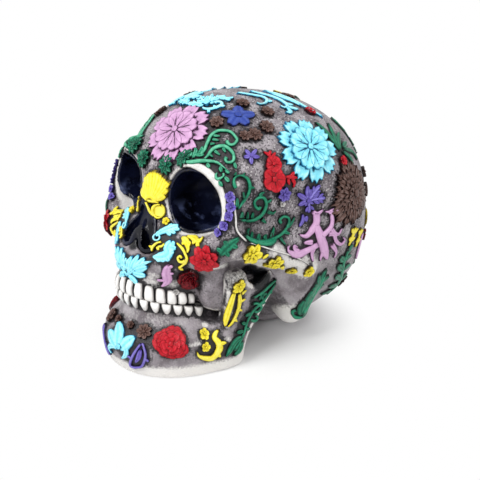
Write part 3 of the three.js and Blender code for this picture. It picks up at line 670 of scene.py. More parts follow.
def stroke(size, heading, bend, start, steps=12):
    """A line whose heading turns steadily by `bend`. Headings are degrees clockwise from straight up."""
    s = np.linspace(0, 1, steps + 1)
    angle = np.radians(heading + bend * s)
    ahead = (angle[1:] + angle[:-1]) / 2
    u = start[0] + np.concatenate([[0], np.cumsum(np.sin(ahead))]) * size / steps
    v = start[1] + np.concatenate([[0], np.cumsum(np.cos(ahead))]) * size / steps
    return s, u, v, angle


def through(points):
    """A smooth line through drawn points: each span is a cubic that leans on its neighbours."""
    p = np.array(points, float)
    p = np.vstack([2 * p[0] - p[1], p, 2 * p[-1] - p[-2]])
    t = np.linspace(0, 1, max(6, 12 // (len(points) - 1)), endpoint=False)[:, None]
    spans = [b + (c - a) / 2 * t + (a - 2.5 * b + 2 * c - d / 2) * t ** 2
             + (1.5 * (b - c) + (d - a) / 2) * t ** 3
             for a, b, c, d in zip(p, p[1:], p[2:], p[3:])]
    line = np.vstack([*spans, p[-2:-1]])
    way = np.gradient(line, axis=0)
    run = np.concatenate([[0], np.cumsum(np.hypot(*np.diff(line, axis=0).T))])
    return run / run[-1], line[:, 0], line[:, 1], np.arctan2(way[:, 0], way[:, 1])


def strand(line, width, high, shape, groove=0.0, low=0.7):
    """A ridge along a line, like a roof with a rounded top, or with a vein where `groove` is set.
    `shape` gives its width along the way, as shares of the full width."""
    s, u, v, angle = (a[:, None] for a in line)
    t = spaced(9, wall=0.1)[None, :]
    half = width / 2 * np.interp(s, np.linspace(0, 1, len(shape)), shape)
    roof = 1 - np.abs(t) ** 1.5
    vein = groove * np.exp(-(t / 0.22) ** 2)
    height = low + (high - low) * roof - vein
    # Tone: a painted highlight along the ridge, and painted shade down the sides and in the vein.
    tone = 0.3 + 0.6 * roof - 1.1 * vein
    return u + t * half * np.cos(angle), v - t * half * np.sin(angle), height + 0 * s, tone + 0 * s


def vines(width, *lines, shape=SCROLL, high=1.8):
    """Strands of one width through several rows of points."""
    return [strand(through(points), width, high, shape, groove=0.2) for points in lines]


def leaves(width, *lines, shape=LEAF, high=1.75):
    """Veined leaves through several rows of points."""
    return [strand(through(points), width, high, shape, groove=0.45) for points in lines]


def star(centre, width, *tips, shape=LEAF):
    """Leaves from one centre to several tips, and a button on the centre."""
    heart = [button(0.3 * width, 1.6, 2.3)]
    return leaves(width, *([centre, tip] for tip in tips), shape=shape) + moved(heart, centre)


def leaf(size, width, heading=0, bend=0, start=(0, 0)):
    """A pointed leaf with a vein."""
    return strand(stroke(size, heading, bend, start), width, 1.9, LEAF, groove=0.45)


def leaf_pair(size):
    """Two leaves that bend apart from one foot, and a smaller one between them."""
    wide = 0.4 * size
    return [leaf(size, wide, -35, -30), leaf(size, wide, 35, 30), leaf(0.7 * size, 0.3 * size)]


def acanthus(points, width, lobes=4, spread=50):
    """A leaf of many lobes: pairs of leaflets along a rib through the points, and one at the end."""
    line = through(points)
    sheets = [strand(line, 0.3 * width, 2.1, BLADE)]
    for n in range(lobes):
        k = int((0.08 + 0.74 * n / lobes) * (len(line[0]) - 1))
        long = 0.62 * width * (1 - 0.4 * abs(n - lobes / 3) / lobes)
        for hand in (1, -1):
            way = math.degrees(line[3][k]) + hand * spread
            sheets.append(leaf(long, 0.5 * long, way, -hand * 25, (line[1][k], line[2][k])))
    return sheets + leaves(0.4 * width, [points[-2], points[-1]])


def loop(u, v, across, along):
    """Points round an oval, to carry a strand."""
    a = np.radians(np.arange(0, 361, 45))
    return np.stack([u + across * np.sin(a), v + along * np.cos(a)], 1)


print("points in a leaf:", leaf(10, 4)[2].size)

# %% [markdown]
# ## Finishes
# The paint of such an ornament is simple: a flat colour, darker where thin black paint has run into
# the hollows, and paler where a dry brush has touched the ridges. Here the darker colour is also
# painted shade in the hollows, and the paler one is also a painted highlight on the ridges. Each
# drawing keeps a number called tone for this, nought in the creases and one on the ridges. A small
# class lets the shader sums be written as they are said.

# %% Shader sums
class Wire:
    """One output of a shader node. Sums of wires and numbers add Math nodes."""

    def __init__(self, tree, socket=None):
        self.tree, self.socket = tree, socket

    def node(self, kind, settings, inputs, output=0):
        """Adds a node of any kind: its settings first, then its input values and wires."""
        made = self.tree.nodes.new("ShaderNode" + kind)
        for key, value in settings.items():
            setattr(made, key, value)
        for key, value in inputs.items():
            if isinstance(value, Wire):
                self.tree.links.new(value.socket, made.inputs[key])
            else:
                made.inputs[key].default_value = value
        return Wire(self.tree, made.outputs[output] if made.outputs else None)

    def math(self, operation, a, b):
        return self.node("Math", {"operation": operation}, {0: a, 1: b})

    def __add__(self, other):
        return self.math("ADD", self, other)

    def __sub__(self, other):
        return self.math("SUBTRACT", self, other)

    def __rsub__(self, other):
        return self.math("SUBTRACT", other, self)

    def __mul__(self, other):
        return self.math("MULTIPLY", self, other)

    __radd__ = __add__
    __rmul__ = __mul__

    def ramp(self, low, high):
        """A smooth step from nought at `low` to one at `high`."""
        smooth = {"interpolation_type": "SMOOTHSTEP"}
        return self.node("MapRange", smooth, {0: self, 1: low, 2: high})

    def mix(self, a, b):
        """Colour a where the wire is nought and colour b where it is one."""
        return self.node("Mix", {"data_type": "RGBA"}, {0: self, 6: a, 7: b}, output=2)


def rgb(text):
    """A colour written as on a web page, in the linear values that shaders use."""
    shown = np.array([int(text[n:n + 2], 16) for n in (0, 2, 4)]) / 255
    linear = np.where(shown <= 0.04045, shown / 12.92, ((shown + 0.055) / 1.055) ** 2.4)
    return (*linear.tolist(), 1.0)


def cleared(owner):
    """A wire to start from, in the emptied node tree of a material or a world."""
    owner.use_nodes = True
    owner.node_tree.nodes.clear()
    return Wire(owner.node_tree)


def finish_of(name, surface):
    """A material: `surface` gets a wire to start from and returns the inputs of the one shader."""
    material = bpy.data.materials.new(name)
    start = cleared(material)
    shader = start.node("BsdfPrincipled", {}, surface(start))
    start.node("OutputMaterial", {}, {"Surface": shader})
    return material


def place_of(start):
    """The point in the object's own coordinates, in metres."""
    return start.node("TexCoord", {}, {}, output="Object")


def noise(start, per_millimetre, detail=2.0):
    """Soft noise on the object's own coordinates, from about nought to one."""
    scale = per_millimetre / MM
    return start.node("TexNoise", {}, {"Vector": place_of(start), "Scale": scale, "Detail": detail})


def attribute(start, name):
    """A number that the mesh keeps at each of its points."""
    return start.node("Attribute", {"attribute_name": name}, {}, output="Fac")


def bumped(start, height, millimetres):
    """Small bumps from a wire of heights."""
    return start.node("Bump", {}, {"Height": height, "Distance": millimetres * MM})


print("middle grey as shaders use it:", round(rgb("808080")[0], 3))

# %% Paint, bone, gloss and teeth
BLACK = rgb("0e0c10")


def paint(name, shaded, plain, pale):
    """Shaded in the creases, plain on most of the relief and pale on the ridges, with black specks where the
    tone is low. The shaded colour, the black and the specks are thin black paint together with painted shade;
    the pale is a dry brush together with a painted highlight."""
    def surface(start):
        patchy, grain, speck = noise(start, 0.3, 3.0), noise(start, 1.6, 3.0), noise(start, 0.7, 4.0)
        tone = attribute(start, "tone") + (patchy - 0.5) * 0.5 + (grain - 0.5) * 0.25
        # Black and the shaded colour at low tone are painted shade with the black paint; the pale colour at
        # high tone is a painted highlight with the dry brush.
        colour = tone.ramp(0.0, 0.2).mix(BLACK, rgb(shaded))
        colour = tone.ramp(0.15, 0.42).mix(colour, rgb(plain))
        colour = (tone.ramp(0.5, 0.85) * 0.85).mix(colour, rgb(pale))
        # Black specks where the tone is low: black paint together with painted shade in the creases.
        shade_specks = (0.62 - attribute(start, "tone")).ramp(-0.1, 0.6) * speck.ramp(0.55, 0.66)
        colour = (shade_specks * 0.9).mix(colour, BLACK)
        return {"Base Color": colour, "Roughness": 0.32 + (grain - 0.5) * 0.3,
                "Specular IOR Level": 0.22, "Normal": bumped(start, grain + patchy, 0.22)}
    return finish_of(name, surface)


def casting_surface(start):
    """Grey with fine specks or, where smooth, soft clouds; thin black paint together with painted shade round
    the ornament, painted shade in the hollow behind the molars and under the cheek arch, dry white on the
    ridges and gloss black spots."""
    cloud, grain, speck = noise(start, 0.1, 3.0), noise(start, 0.8, 4.0), noise(start, 1.1, 3.0)
    rough = 1.0 - attribute(start, "smooth") * 0.75
    colour = cloud.ramp(0.3, 0.7).mix(rgb("6b6368"), rgb("a8a1a6"))
    colour = (speck.ramp(0.57, 0.66) * 0.75 * rough).mix(colour, rgb("e9e6e4"))
    colour = (grain.ramp(0.52, 0.62) * 0.75 * rough).mix(colour, rgb("232025"))
    # The dark mark: thin black paint with painted shade round the ornament, and painted shade in the hollows.
    wash_and_shade = (attribute(start, "wash_and_shade") + (grain + speck - 1.0) * (rough + 0.3)).ramp(0.3, 0.85)
    colour = (wash_and_shade * 0.93).mix(colour, rgb("121014"))
    pale = (attribute(start, "pale") + (grain - 0.5) * 0.7).ramp(0.12, 0.6)
    colour = (pale * 0.95).mix(colour, rgb("e9e6e2"))
    ink = attribute(start, "ink")
    colour = ink.mix(colour, rgb("05060b"))
    return {"Base Color": colour, "Roughness": 0.28 + rough * 0.25 - ink * 0.3,
            "Specular IOR Level": 0.3, "Normal": bumped(start, grain + speck, 0.3)}


def gloss_surface(start):
    """Blue-black lacquer, with a painted reflection: paler patches in a noisy band low in the two eye
    sockets.
    """
    cloud, reflection_streak = noise(start, 0.05, 2.0), noise(start, 0.11, 3.0)
    height = start.node("SeparateXYZ", {}, {0: place_of(start)}, output="Z")
    aside = start.node("SeparateXYZ", {}, {0: place_of(start)}, output="X")
    in_an_eye = (aside * aside).ramp((10 * MM) ** 2, (15 * MM) ** 2)
    # A painted reflection: a band low in each eye socket, broken up by noise.
    low = (height.ramp(88 * MM, 94 * MM) - height.ramp(96 * MM, 106 * MM)) * in_an_eye
    colour = cloud.ramp(0.35, 0.65).mix(rgb("04050f"), rgb("141932"))
    colour = (low * reflection_streak.ramp(0.48, 0.66) * 0.8).mix(colour, rgb("5b6790"))
    return {"Base Color": colour, "Roughness": 0.14 + cloud * 0.1, "Specular IOR Level": 0.32,
            "Normal": bumped(start, cloud, 0.6)}


def tooth_surface(start):
    """Ivory white, dark in the joints between the teeth, with painted shade on one side, towards the edges
    and the gum, and on the back teeth.
    """
    tone = attribute(start, "tone") + (noise(start, 0.3, 3.0) - 0.5) * 0.3
    colour = tone.ramp(0.05, 0.4).mix(rgb("1d1a1b"), rgb("bdb9b6"))
    colour = tone.ramp(0.4, 0.72).mix(colour, rgb("f6f4f1"))
    grain = noise(start, 1.4)
    return {"Base Color": colour, "Roughness": 0.3 + grain * 0.2, "Normal": bumped(start, grain, 0.1)}


# Each paint is shaded, plain and pale: the shaded colour is painted shade in the creases and the pale one a
# painted highlight on the ridges, each along with the black paint and the dry brush.
PAINTS = {
    "pink": ("5f3d5c", "c99bc5", "e0b5db"),
    "turquoise": ("12719f", "86e4f6", "c6fdff"),
    "blue": ("111b55", "2c4296", "4a60b0"),
    "green": ("04231a", "0b5a42", "2d9a73"),
    "mint": ("052e24", "1a8260", "74cfa8"),
    "red": ("4a0610", "b90f20", "d42c3b"),
    "crimson": ("2c0308", "6f0a16", "99222f"),
    "yellow": ("6b5a10", "f4e02e", "fdf570"),
    "purple": ("251d4f", "6353ad", "8f86d0"),
    "brown": ("251714", "5b4038", "836c66"),
    "chalk": ("6f6b6b", "c9c6c3", "f4f2ef"),
}
FINISH = {name: paint(name + "_paint", *tones) for name, tones in PAINTS.items()}
FINISH["casting"] = finish_of("casting_grey", casting_surface)
FINISH["ink"] = finish_of("gloss_black", gloss_surface)
FINISH["ivory"] = finish_of("tooth_ivory", tooth_surface)
print("finishes:", ", ".join(FINISH))

# %% [markdown]
# ## The ornament of the skull
# A maker presses the large flowers on first, at marked places, and then fills the ground between
# them. Here too: each piece of the frame says where its flower or scroll sits, unless the drawing
# names another spot of the bone, by its bearing from the front and its lift in degrees or as a
# point. Drawings are in millimetres on the left side, and the right side is their mirror image.

# %% Pressing drawings on
HEART = {bone: CRANIUM_HEART, jaw_bone: JAW_HEART}


def spot_of(place, field, side):
    """The spot of the bone for a bearing and lift, for a point, or for a piece of the frame."""
    if isinstance(place, str):
        return spot_of_node(field, place)
    if len(place) == 2:
        return spot_by_bearing(field, HEART[field], side * place[0], place[1])
    return settle(field, at(side * place[0], *place[1:]), passes=8)


def press(name, colour, field, parts, side=1, node=None):
    """One painted piece from drawings at one or more places."""
    relief = Relief()
    for place, sheets in parts:
        spot = spot_of(place, field, side)
        relief.lay(Patch(field, HEART[field], spot, side, reach_of(sheets)), sheets)
    add_piece("painted_" + name, relief.mesh(name), FINISH[colour], [node] if node else [])


# %% [markdown]
# ## Scrolls and leaves
# These follow the photograph stroke by stroke: the stems first, then their leaves and barbs.

# %% Green scrolls
BROW = (
    vines(2.8, [(-29, -8), (-22, -9), (-17, -8), (-12.5, -7), (-8, -6.5), (-4.5, -8.5), (-2, -10)],
          shape=LEAF)
    + vines(2.9, [(-18, -6), (-17.5, 0), (-16.5, 6.5), (-15.5, 11), (-12.5, 14.5), (-8.5, 15.5), (-4.5, 15),
                  (-1, 12), (0, 10), (-1, 7.5), (-3, 6.5), (-5, 7.5), (-5, 9)],
            [(-15, -7), (-14.5, -4.5), (-13.5, 0.5), (-11, 3.5), (-7, 5), (-3.5, 4), (-0.5, 1.5), (0.5, -1.5),
             (-0.5, -3.5), (-3, -4), (-4, -2.5), (-3.5, -1)])
    + leaves(2.2, [(-14.5, 11), (-9.5, 11)], [(-14.5, 8.5), (-9.5, 8)], [(-11.5, 1.5), (-7, -1)],
             [(-7, 4), (-4.5, 1)], [(-14, -1.5), (-11, -3.5)], [(-15, 5), (-11.5, 6)], shape=BLADE)
    + leaves(3.0, [(-16, -3.5), (-18, -4.5), (-21.5, -5)], [(-20.5, -8), (-21, -3), (-24.5, 3.5)],
             [(-24, -8), (-23, -5), (-25.5, -0.5)], [(-28, -8), (-27.5, -5.5), (-29, -4)],
             [(-18.5, -4.5), (-19, 0), (-19, 4)])
    + vines(1.9, [(-6, -12.5), (-6.5, -14), (-5.5, -15.5), (-3.5, -15), (-2.5, -13.5), (-3.5, -12.5)])
    + leaves(2.4, [(-4.5, -16.5), (-1.5, -19)], [(-2, -14), (1.5, -16.5)], [(-13, -8.5), (-10.5, -11)],
             [(-6, -8.5), (-4, -12.5)], [(-3, -9.5), (0, -12)], [(1, -3), (3, -7)]))
TEMPLE = (
    vines(2.9, [(-23.5, 5.5), (-22, 10), (-19, 16.5), (-19.5, 22), (-23, 26.5), (-28.5, 27.5), (-31, 23.5),
                (-30, 20), (-28, 17.5)],
          [(-21.5, 1), (-14.5, 0.5), (-9, 2.5), (-6, 6.5), (-5.5, 11.5), (-8, 15), (-11.5, 15), (-13.5, 12.5),
           (-12, 9.5), (-9.5, 8.5), (-9, 10.5)])
    + leaves(2.6, [(-19.5, 20.5), (-15.5, 20.5)], [(-31.5, 25), (-32, 30.5)], [(-26.5, 27), (-25, 30.5)],
             [(-24, 6.5), (-26, 13)], [(-10, 15.5), (-11, 17), (-8.5, 19)], [(-20, 1.5), (-20.5, 5.5)],
             [(-15, 1.5), (-16, 6.5)], [(-12, 2.5), (-12.5, 6.5)], [(-5, 8), (0.5, 7), (2.5, 9.5)],
             [(-6, 3), (-1.5, 0.5)], [(-5, 12.5), (-3, 15.5)], [(-21, 13), (-24, 17)], shape=BLADE))
ARCH = (
    vines(2.9, [(-16, -6.5), (-11, -9), (-4, -10), (4.5, -9), (11, -4.5), (14, 1.5), (13, 5.5), (9, 6),
                (7, 3.5), (9, 1.5)])
    + leaves(2.8, [(-11, -9), (-9, -6)], [(-6.5, -9.5), (-4, -6.5)], [(-2, -9.5), (1, -6)],
             [(3.5, -9), (4.5, -4.5), (4, 0)], [(12.5, -1), (16, 2.5), (17.5, 7.5)], [(12, -3), (17, -4)],
             [(10, -6.5), (14, -11)], [(-14, -7), (-11, -4)], shape=BLADE))
FAN = (leaves(4.6, [(-15.5, -10), (-18, -0.5), (-20.5, 8.5), (-23.5, 14.5)],
              [(-15.5, -10), (-15, -1), (-10.5, 13.5)], [(-15.5, -9.5), (-11.5, -1), (-4.5, 5)],
              [(-11.5, -7), (-2.5, -2.5)])
       + leaves(3.6, [(-12, -8), (0.5, -9), (6.5, -15)], [(-14, -9), (-7, -13), (-4, -19)]))
LOW_LEAF = (acanthus([(-3, -22), (0, -8), (0, 14)], 26, 6, 48)
            + vines(3, [(0, -21), (-6, -24), (-9, -22), (-8, -19)]))
REAR_LEAF = (vines(5, [(24, -18), (22, -6), (18.5, -0.5), (11, 8.5), (6, 16.5), (4.5, 27)])
             + leaves(6, [(22, -6), (8, -5)], [(17, 1), (5, 5)], [(11, 8.5), (0, 13.5)],
                      [(6, 16), (-2, 19.5)], [(5, 22), (8.5, 30)], [(19, -1), (27, 4)],
                      [(11, 9), (20, 13)], [(6, 17), (13, 21)], [(23, -12), (10, -14)]))
RAMUS = (
    vines(2.8, [(16, 16), (10, 3), (2.5, -4.5), (0, -14), (-3, -22), (-6.5, -31)],
          [(15, 17), (9.5, 12), (5, 8), (-3.5, 3.5)],
          [(2.5, -4.5), (7.5, -5.5), (9.5, -2.5), (4, 0.5), (-1, 0)],
          [(1, -10), (8, -12), (9.5, -9.5), (5, -7.5)])
    + moved(star((0, 0), 2.4, (0, 4), (4, 1), (2, -3.5), (-2, -3.5), (-4, 1)), (6, 6))
    + leaves(5.5, [(-2.5, -20.5), (-7.5, -24.5), (-9.5, -31), (-10.5, -34)],
             [(-2.5, -23), (-2, -29), (-5.5, -33.5)])
    + leaves(3.2, [(0, -14), (-5, -12)], [(-2, -18), (-8, -19)], [(-1, -17), (5, -17)], [(2, -6), (-4, -8)],
             [(11, 9), (15, 7)], [(7, 0), (12, 1)]))

GREENS = (BROW, TEMPLE, ARCH, FAN, LOW_LEAF, REAR_LEAF, RAMUS)
print("sheets in the green scrolls:", [len(drawing) for drawing in GREENS])

# %% Turquoise, pink and yellow scrolls
CROWN = (
    acanthus([(12, -15), (5.5, -16.5), (-2, -18)], 9, 3) + acanthus([(12, -13), (4.5, -10.5), (0, -7)], 8, 3)
    + acanthus([(12, -13), (9.5, -8), (4, -1)], 8, 3)
    + acanthus([(13.5, -12.5), (11.5, -4.5), (14.5, 1)], 8, 3)
    + leaves(4, [(11.5, -5), (16, -1), (18, 4.5)], [(14, -1), (20.5, -1)], [(9, -8), (4, -6)])
    + vines(3.2, [(13, -18), (17, -17.5), (20, -14), (20.5, -9), (18, -6.5), (15.5, -8), (16, -11)])
    + leaves(2.6, [(18, -17), (21, -20)], [(20, -13), (17.5, -12.5)], [(20.5, -10), (23.5, -8)])
    + moved([button(2.4, 1.6, 2.6)], (12, -13)))
SWIRLS = (
    vines(3.2, [(-25.5, 10.5), (-15, 9.5), (-8.5, 9), (-5.5, 6), (-7, 1), (-10.5, -2.5), (-13.5, -2)],
          shape=LEAF)
    + vines(4.4, [(-16.5, 17.5), (-5, 14.5), (2, 11.5), (7, 5), (5.5, 0), (1.5, 0.5)], shape=LEAF)
    + vines(4.0, [(-6.5, 27.5), (10, 18.5), (21, 9.5), (34.5, 4)], [(-2, 21), (10, 14), (18, 8)], shape=LEAF)
    + leaves(3.4, [(-6.5, 4), (-2, 4.5)], [(6, 1.5), (8.5, -3.5), (4.5, -5.5)], [(6, 2), (15, 2)],
             [(6, 6), (12, 6)]))
PINK = (
    vines(5.4, [(-6, 22.5), (-4.5, 15), (-6.5, 9.5), (-10, 5), (-15.5, 5.5)], shape=(0.9, 1, 1, 0.7, 0.1))
    + vines(6.6, [(-5, 14), (-2, 9), (2, 3), (7.5, -3), (14.5, -9.5)], shape=(0.7, 1, 1.1, 1, 0.1))
    + vines(4, [(0, 6.5), (3, 9.5), (5.5, 14), (5, 19.5), (2.5, 23), (-1, 23)],
            shape=(1.2, 1, 0.9, 0.8, 0.6, 0.2))
    + leaves(3.6, [(2, 22.5), (6, 25.5), (9, 24)], [(5.5, 13), (9, 10), (13.5, 9.5), (15.5, 14.5)],
             [(4, 8), (9, 9), (14, 4.5), (21, 2.5), (23.5, 6), (18, 8)], [(-9, 22), (-5, 21), (-1.5, 25)],
             shape=BLADE)
    + vines(5, [(1, 2), (-8, -4.5), (-15.5, -6.5), (-21.5, -5.5), (-23.5, -4), (-20.5, -2.5)], shape=BLADE)
    + leaves(4, [(-12.5, -5.5), (-17, -4.5), (-16.5, -2.5), (-14, -3)],
             [(-2.5, -1), (-2.5, -5.5), (-1.5, -11)], [(9, 3), (19, -3), (20, -8.5)],
             [(6.5, -3), (6, -10.5)], [(-4, 2), (-11, 0.5)], shape=BLADE))
LIP = (
    leaves(5.2, [(-8.5, -7), (-8, -1), (-6.5, 5)], [(-6.5, -5), (-4, 1), (-2, 7)],
           [(-4.5, -3), (0, 2), (3, 6.5)], [(-3.5, -3), (2, 0), (6, 2)],
           [(-5, -5), (0, -4.5), (5.5, -4)], [(-8.5, -8), (-4, -9), (0, -11.5)])
    + leaves(3.6, [(-12, -11), (-3.5, -2), (2, 2.5), (8, 5.5)])
    + vines(1.5, loop(-9.5, -1, 2.2, 2.6), shape=EVEN))
PAISLEY = (vines(5, [(6, 12), (3, 6.5), (5.5, 4), (7, -0.5), (4, -6.5), (-4, -6), (-7, -2.5)], shape=LEAF)
           + leaves(2.8, [(6, 3), (10, 5)], [(6, -3), (9.5, -5)])
           + moved(flower(3.6), (-3.5, 7)) + moved(flower(3.0), (-2, 0.5)))
SICKLE = (0.6, 1, 1, 0.8, 0.2)
CRESCENT = (leaves(3.3, [(-9.5, 14), (-8, 6), (-6.2, -3), (-4, -11.5)], shape=SICKLE)
            + leaves(4, [(-6, 13), (-2, 6.5), (-0.6, 0), (-1.2, -6), (-3.4, -11.5)], shape=SICKLE)
            + leaves(2.6, [(-3, 11), (0.5, 14)], [(-1.5, 6), (2.5, 8)], [(-1, 1), (3.5, 0)],
                     [(-1.5, -5), (2.5, -7.5)], shape=BLADE)
            + moved(flower(4.6), (-7.5, 16.5)))
CHIN_LILY = (leaves(9.5, [(2, -6), (-2, 3), (-9, 9.5)], [(2, -6), (-6, -1), (-13, 2.5)],
                    [(2, -6), (7, 1), (11, 5.5)])
             + leaves(4.4, [(1.5, -3.5), (-6.5, -6.5), (-11, -11), (-8, -15)],
                      [(3, -3), (7, -3.5), (6.5, -9), (2, -14)])
             + moved([button(1.8, 1.7, 2.5)], (2, -3)))
OTHERS = (CROWN, SWIRLS, PINK, LIP, PAISLEY, CRESCENT, CHIN_LILY)
print("sheets in the other scrolls:", [len(drawing) for drawing in OTHERS])

# %% [markdown]
# ## Every piece of the frame
# Flowers of the photograph sit on the pieces that the frame has for them. The back isn't in the
# photograph, and carries the same kinds of flowers and scrolls.

# %% Large ornament
SHELL_TIPS = [(-11, -1), (-11.5, 3.5), (-11, 7.5), (-8, 9.5), (-5, 11), (-1.5, 12), (1.5, 12), (4.5, 11),
              (8, 9.5), (11, 7.5), (10.5, 3.5), (9, -0.5)]
SHELL = leaves(4.6, *([(0, -7.5), tip] for tip in SHELL_TIPS), shape=(0.3, 0.6, 0.9, 1, 0.6))
BLUE_TIPS = [(-11, -0.5), (-1.5, 9), (9.5, 5.5), (7, -6), (-3.5, -9.5)]
BLUE_PETAL = (0.5, 0.9, 1, 0.95, 0.8, 0.3)
LILY = (acanthus([(0, 0), (2, 5), (5, 11)], 9, 3) + acanthus([(0, 0), (6, 2), (11, 3)], 9, 3)
        + acanthus([(0, 0), (2, -4), (3, -8)], 8, 2)
        + leaves(4, [(0, 0), (-4, 9.5)], [(0, 0), (-10, 3)], [(0, 0), (-6, -4.5)])
        + [button(1.6, 1.8, 2.6)])
YELLOW_TIPS = [(0, 14), (11, 8), (11, -7), (0, -13), (-11, -7), (-11, 8)]
RED_PETALS = dict(tip=0.28, lobes=0)
TEMPLE_FLOWERS = (moved(flower(5.8, start=20, **RED_PETALS), (0, 7))
                  + moved(flower(8.2, start=10, **RED_PETALS), (1.5, -1.5)))
SINGLES = {
    "dahlia_pink_forehead": ("pink", bone, dahlia(22.5)),
    "scroll_turquoise_crown": ("turquoise", bone, CROWN + flipped(CROWN)),
    "shell_yellow_nose": ("yellow", bone, SHELL),
    "lily_turquoise_chin": ("turquoise", jaw_bone, CHIN_LILY),
    "dahlia_turquoise_back": ("turquoise", bone, dahlia(22)),
    "flower_red_back": ("red", bone, double_flower(12)),
    "lily_yellow_back": ("yellow", bone, star((0, 0), 6, *YELLOW_TIPS)),
}
ARCH_SPOT = (62, -20, 70)
TEMPLE_SPOT = (62, 10)
TOP_SPOT = (95, 66)
CHEEK_SPOT = (20, -2)
LOW_SPOT = (99, -31)
LEAF_SPOT = (108, -30)
REAR_SPOT = (118, -8)
EYE_SPOT = (27, 22)
NOSE_SPOT = (12, 8)
ARCH_FLOWERS = [((60.8, -39.6, 78.2), flower(6.8, 6, tip=0.6, start=20)),
                ((63.9, -24.3, 70), flower(6.4, 6, tip=0.6)),
                ((64, -8, 61), flower(3.6)), ((67.3, 3.5, 57.5), flower(3.8)),
                (ARCH_SPOT, leaves(3, [(-14, 4), (-11, 8)], [(3, 0), (7, -4)]))]
PAIRS = {
    "flower_blue_crown": ("blue", bone, None, star((0, 0), 8, *BLUE_TIPS, shape=BLUE_PETAL)),
    "dahlia_turquoise_side": ("turquoise", bone, None, dahlia(22)),
    "fan_green_side": ("green", bone, None, FAN),
    "scroll_green_brow": ("mint", bone, None, BROW),
    "flower_red_temple": ("red", bone, None, TEMPLE_FLOWERS),
    "lily_purple_side": ("purple", bone, None, LILY),
    "dahlia_brown_side": ("brown", bone, None, moved(aster(22), (-3, 5))),
    "scroll_pink_side": ("pink", bone, None, PINK),
    "leaf_green_low": ("green", bone, LOW_SPOT, LOW_LEAF),
    "leaf_green_rear": ("green", bone, LEAF_SPOT, REAR_LEAF),
    "scroll_green_temple": ("green", bone, TEMPLE_SPOT, TEMPLE),
    "scroll_green_arch": ("green", bone, TEMPLE_SPOT, ARCH),
    "swirl_turquoise_top": ("turquoise", bone, TOP_SPOT, SWIRLS),
    "flower_yellow_arch": ("yellow", bone, ARCH_FLOWERS, None),
    "flower_red_cheek": ("red", bone, None, double_flower(9, 7)),
    "rose_crimson_cheek": ("crimson", bone, None, stretched(rose(7), 1.35)),
    "leaf_turquoise_lip": ("turquoise", bone, None, LIP),
    "rose_red_jaw": ("red", jaw_bone, None, rose(10.8)),
    "scroll_yellow_jaw": ("yellow", jaw_bone, None, PAISLEY),
    "crescent_yellow_ramus": ("yellow", jaw_bone, None, moved(CRESCENT, (2.2, 0))),
    "scroll_purple_back": ("purple", bone, None, [*ARCH, *moved(flower(4.4), (-3, 0))]),
    "flower_yellow_back": ("yellow", bone, None, double_flower(10)),
}
SIDES = (("_left", 1), ("_right", -1))
for node, (colour, field, sheets) in SINGLES.items():
    press(node, colour, field, [(node, sheets)], node=node)
for name, (colour, field, place, sheets) in PAIRS.items():
    for end, side in SIDES:
        parts = [(place or name + end, sheets)] if sheets else place
        press(name + end, colour, field, parts, side, name + end)
print("large ornament:", len(PIECES), "pieces")

# %% [markdown]
# ## Small ornament
# Florets, sprigs and curls fill the ground between the large pieces. The frame has no solids for
# them, so they are added here, one piece for each kind and side.

# %% Florets, sprigs and curls
YELLOW_LEAF = (leaves(4.4, [(0, 8), (0, 0), (-1, -7)])
               + leaves(3.2, [(0, 2), (5, 6)], [(0, 2), (-5, 6)], [(0, -3), (4, 0)], [(0, -3), (-4, 0)]))
PURPLE_OVAL = (vines(2.2, [(11, 4.5), (8.5, 0), (5.5, -6.5), (3.5, -13), (5.5, -14.5), (9, -13.5),
                           (12.5, -11), (14.5, -3), (13, 2.5), (11, 4.5)], shape=EVEN)
               + leaves(4, [(11.5, 2), (10, -5), (7.5, -10)])
               + leaves(2.2, [(14, -5), (17, -7)], [(5.5, -7), (2.5, -5)]))
TOP_FLORETS = (moved(flower(4.6, 7), (-22, -5), (-7, -9.5))
               + moved(flower(5.2, 8), (-8.5, -24), (-16.5, -32.5)) + moved(flower(4.2, 7), (-23, -35)))
BROWN_FLORETS = {(32, 55): (4.6, 7), (140, 66): (5, 8), (128, 12): (5, 8), (134, 18): (4, 7),
                 (168, 8): (5, 8), (132, -34): (5, 8), (172, -42): (4.4, 7), (160, -10): (4.4, 7)}
CHEEK_SPRAY = (vines(2.3, [(-1, 6.5), (2.5, 5), (6.5, 3), (8.5, 1), (7.5, -2.5), (5, -5.5), (2, -9)],
                     [(8, 0), (5.5, -3), (3, -3.5), (2, -1.5), (3.5, 0), (5, -1)])
               + leaves(4.2, [(0.5, 10), (4.5, 8.5), (8, 6), (8.5, 3.5)])
               + leaves(2.8, [(5, 8), (9.5, 8)], [(3, 8.5), (4, 6)], [(2, -8.5), (5, -9.5)],
                        [(3, 11), (8.5, 10.8), (13, 10.8), (15, 13.5)], [(9, 11), (11, 8.5)],
                        [(12, 10.5), (14, 8)]))
DROP = (-6.4, 8.3)
NOSE_SPRAY = (moved(flower(2.8), (0.5, 3)) + moved(stretched([button(2.7, 0.7, 1.0, seeds=0)], 1.5), DROP)
              + vines(1.5, loop(*DROP, 3.1, 4.7), shape=EVEN)
              + vines(1.8, [(-8.5, 4), (-10.5, 7), (-11.2, 10), (-12.5, 13)],
                      [(-12, 13.5), (-9.5, 13.6), (-7, 13.8)])
              + vines(2.2, [(-2, -19), (-2.5, -16.5), (-2, -14.5), (0, -11.5), (3, -10)],
                      [(0.5, -14.5), (3.5, -13), (4.5, -10.5)])
              + leaves(2.6, [(-2, -16), (-5, -15)], [(0.5, -14), (2, -17)]))
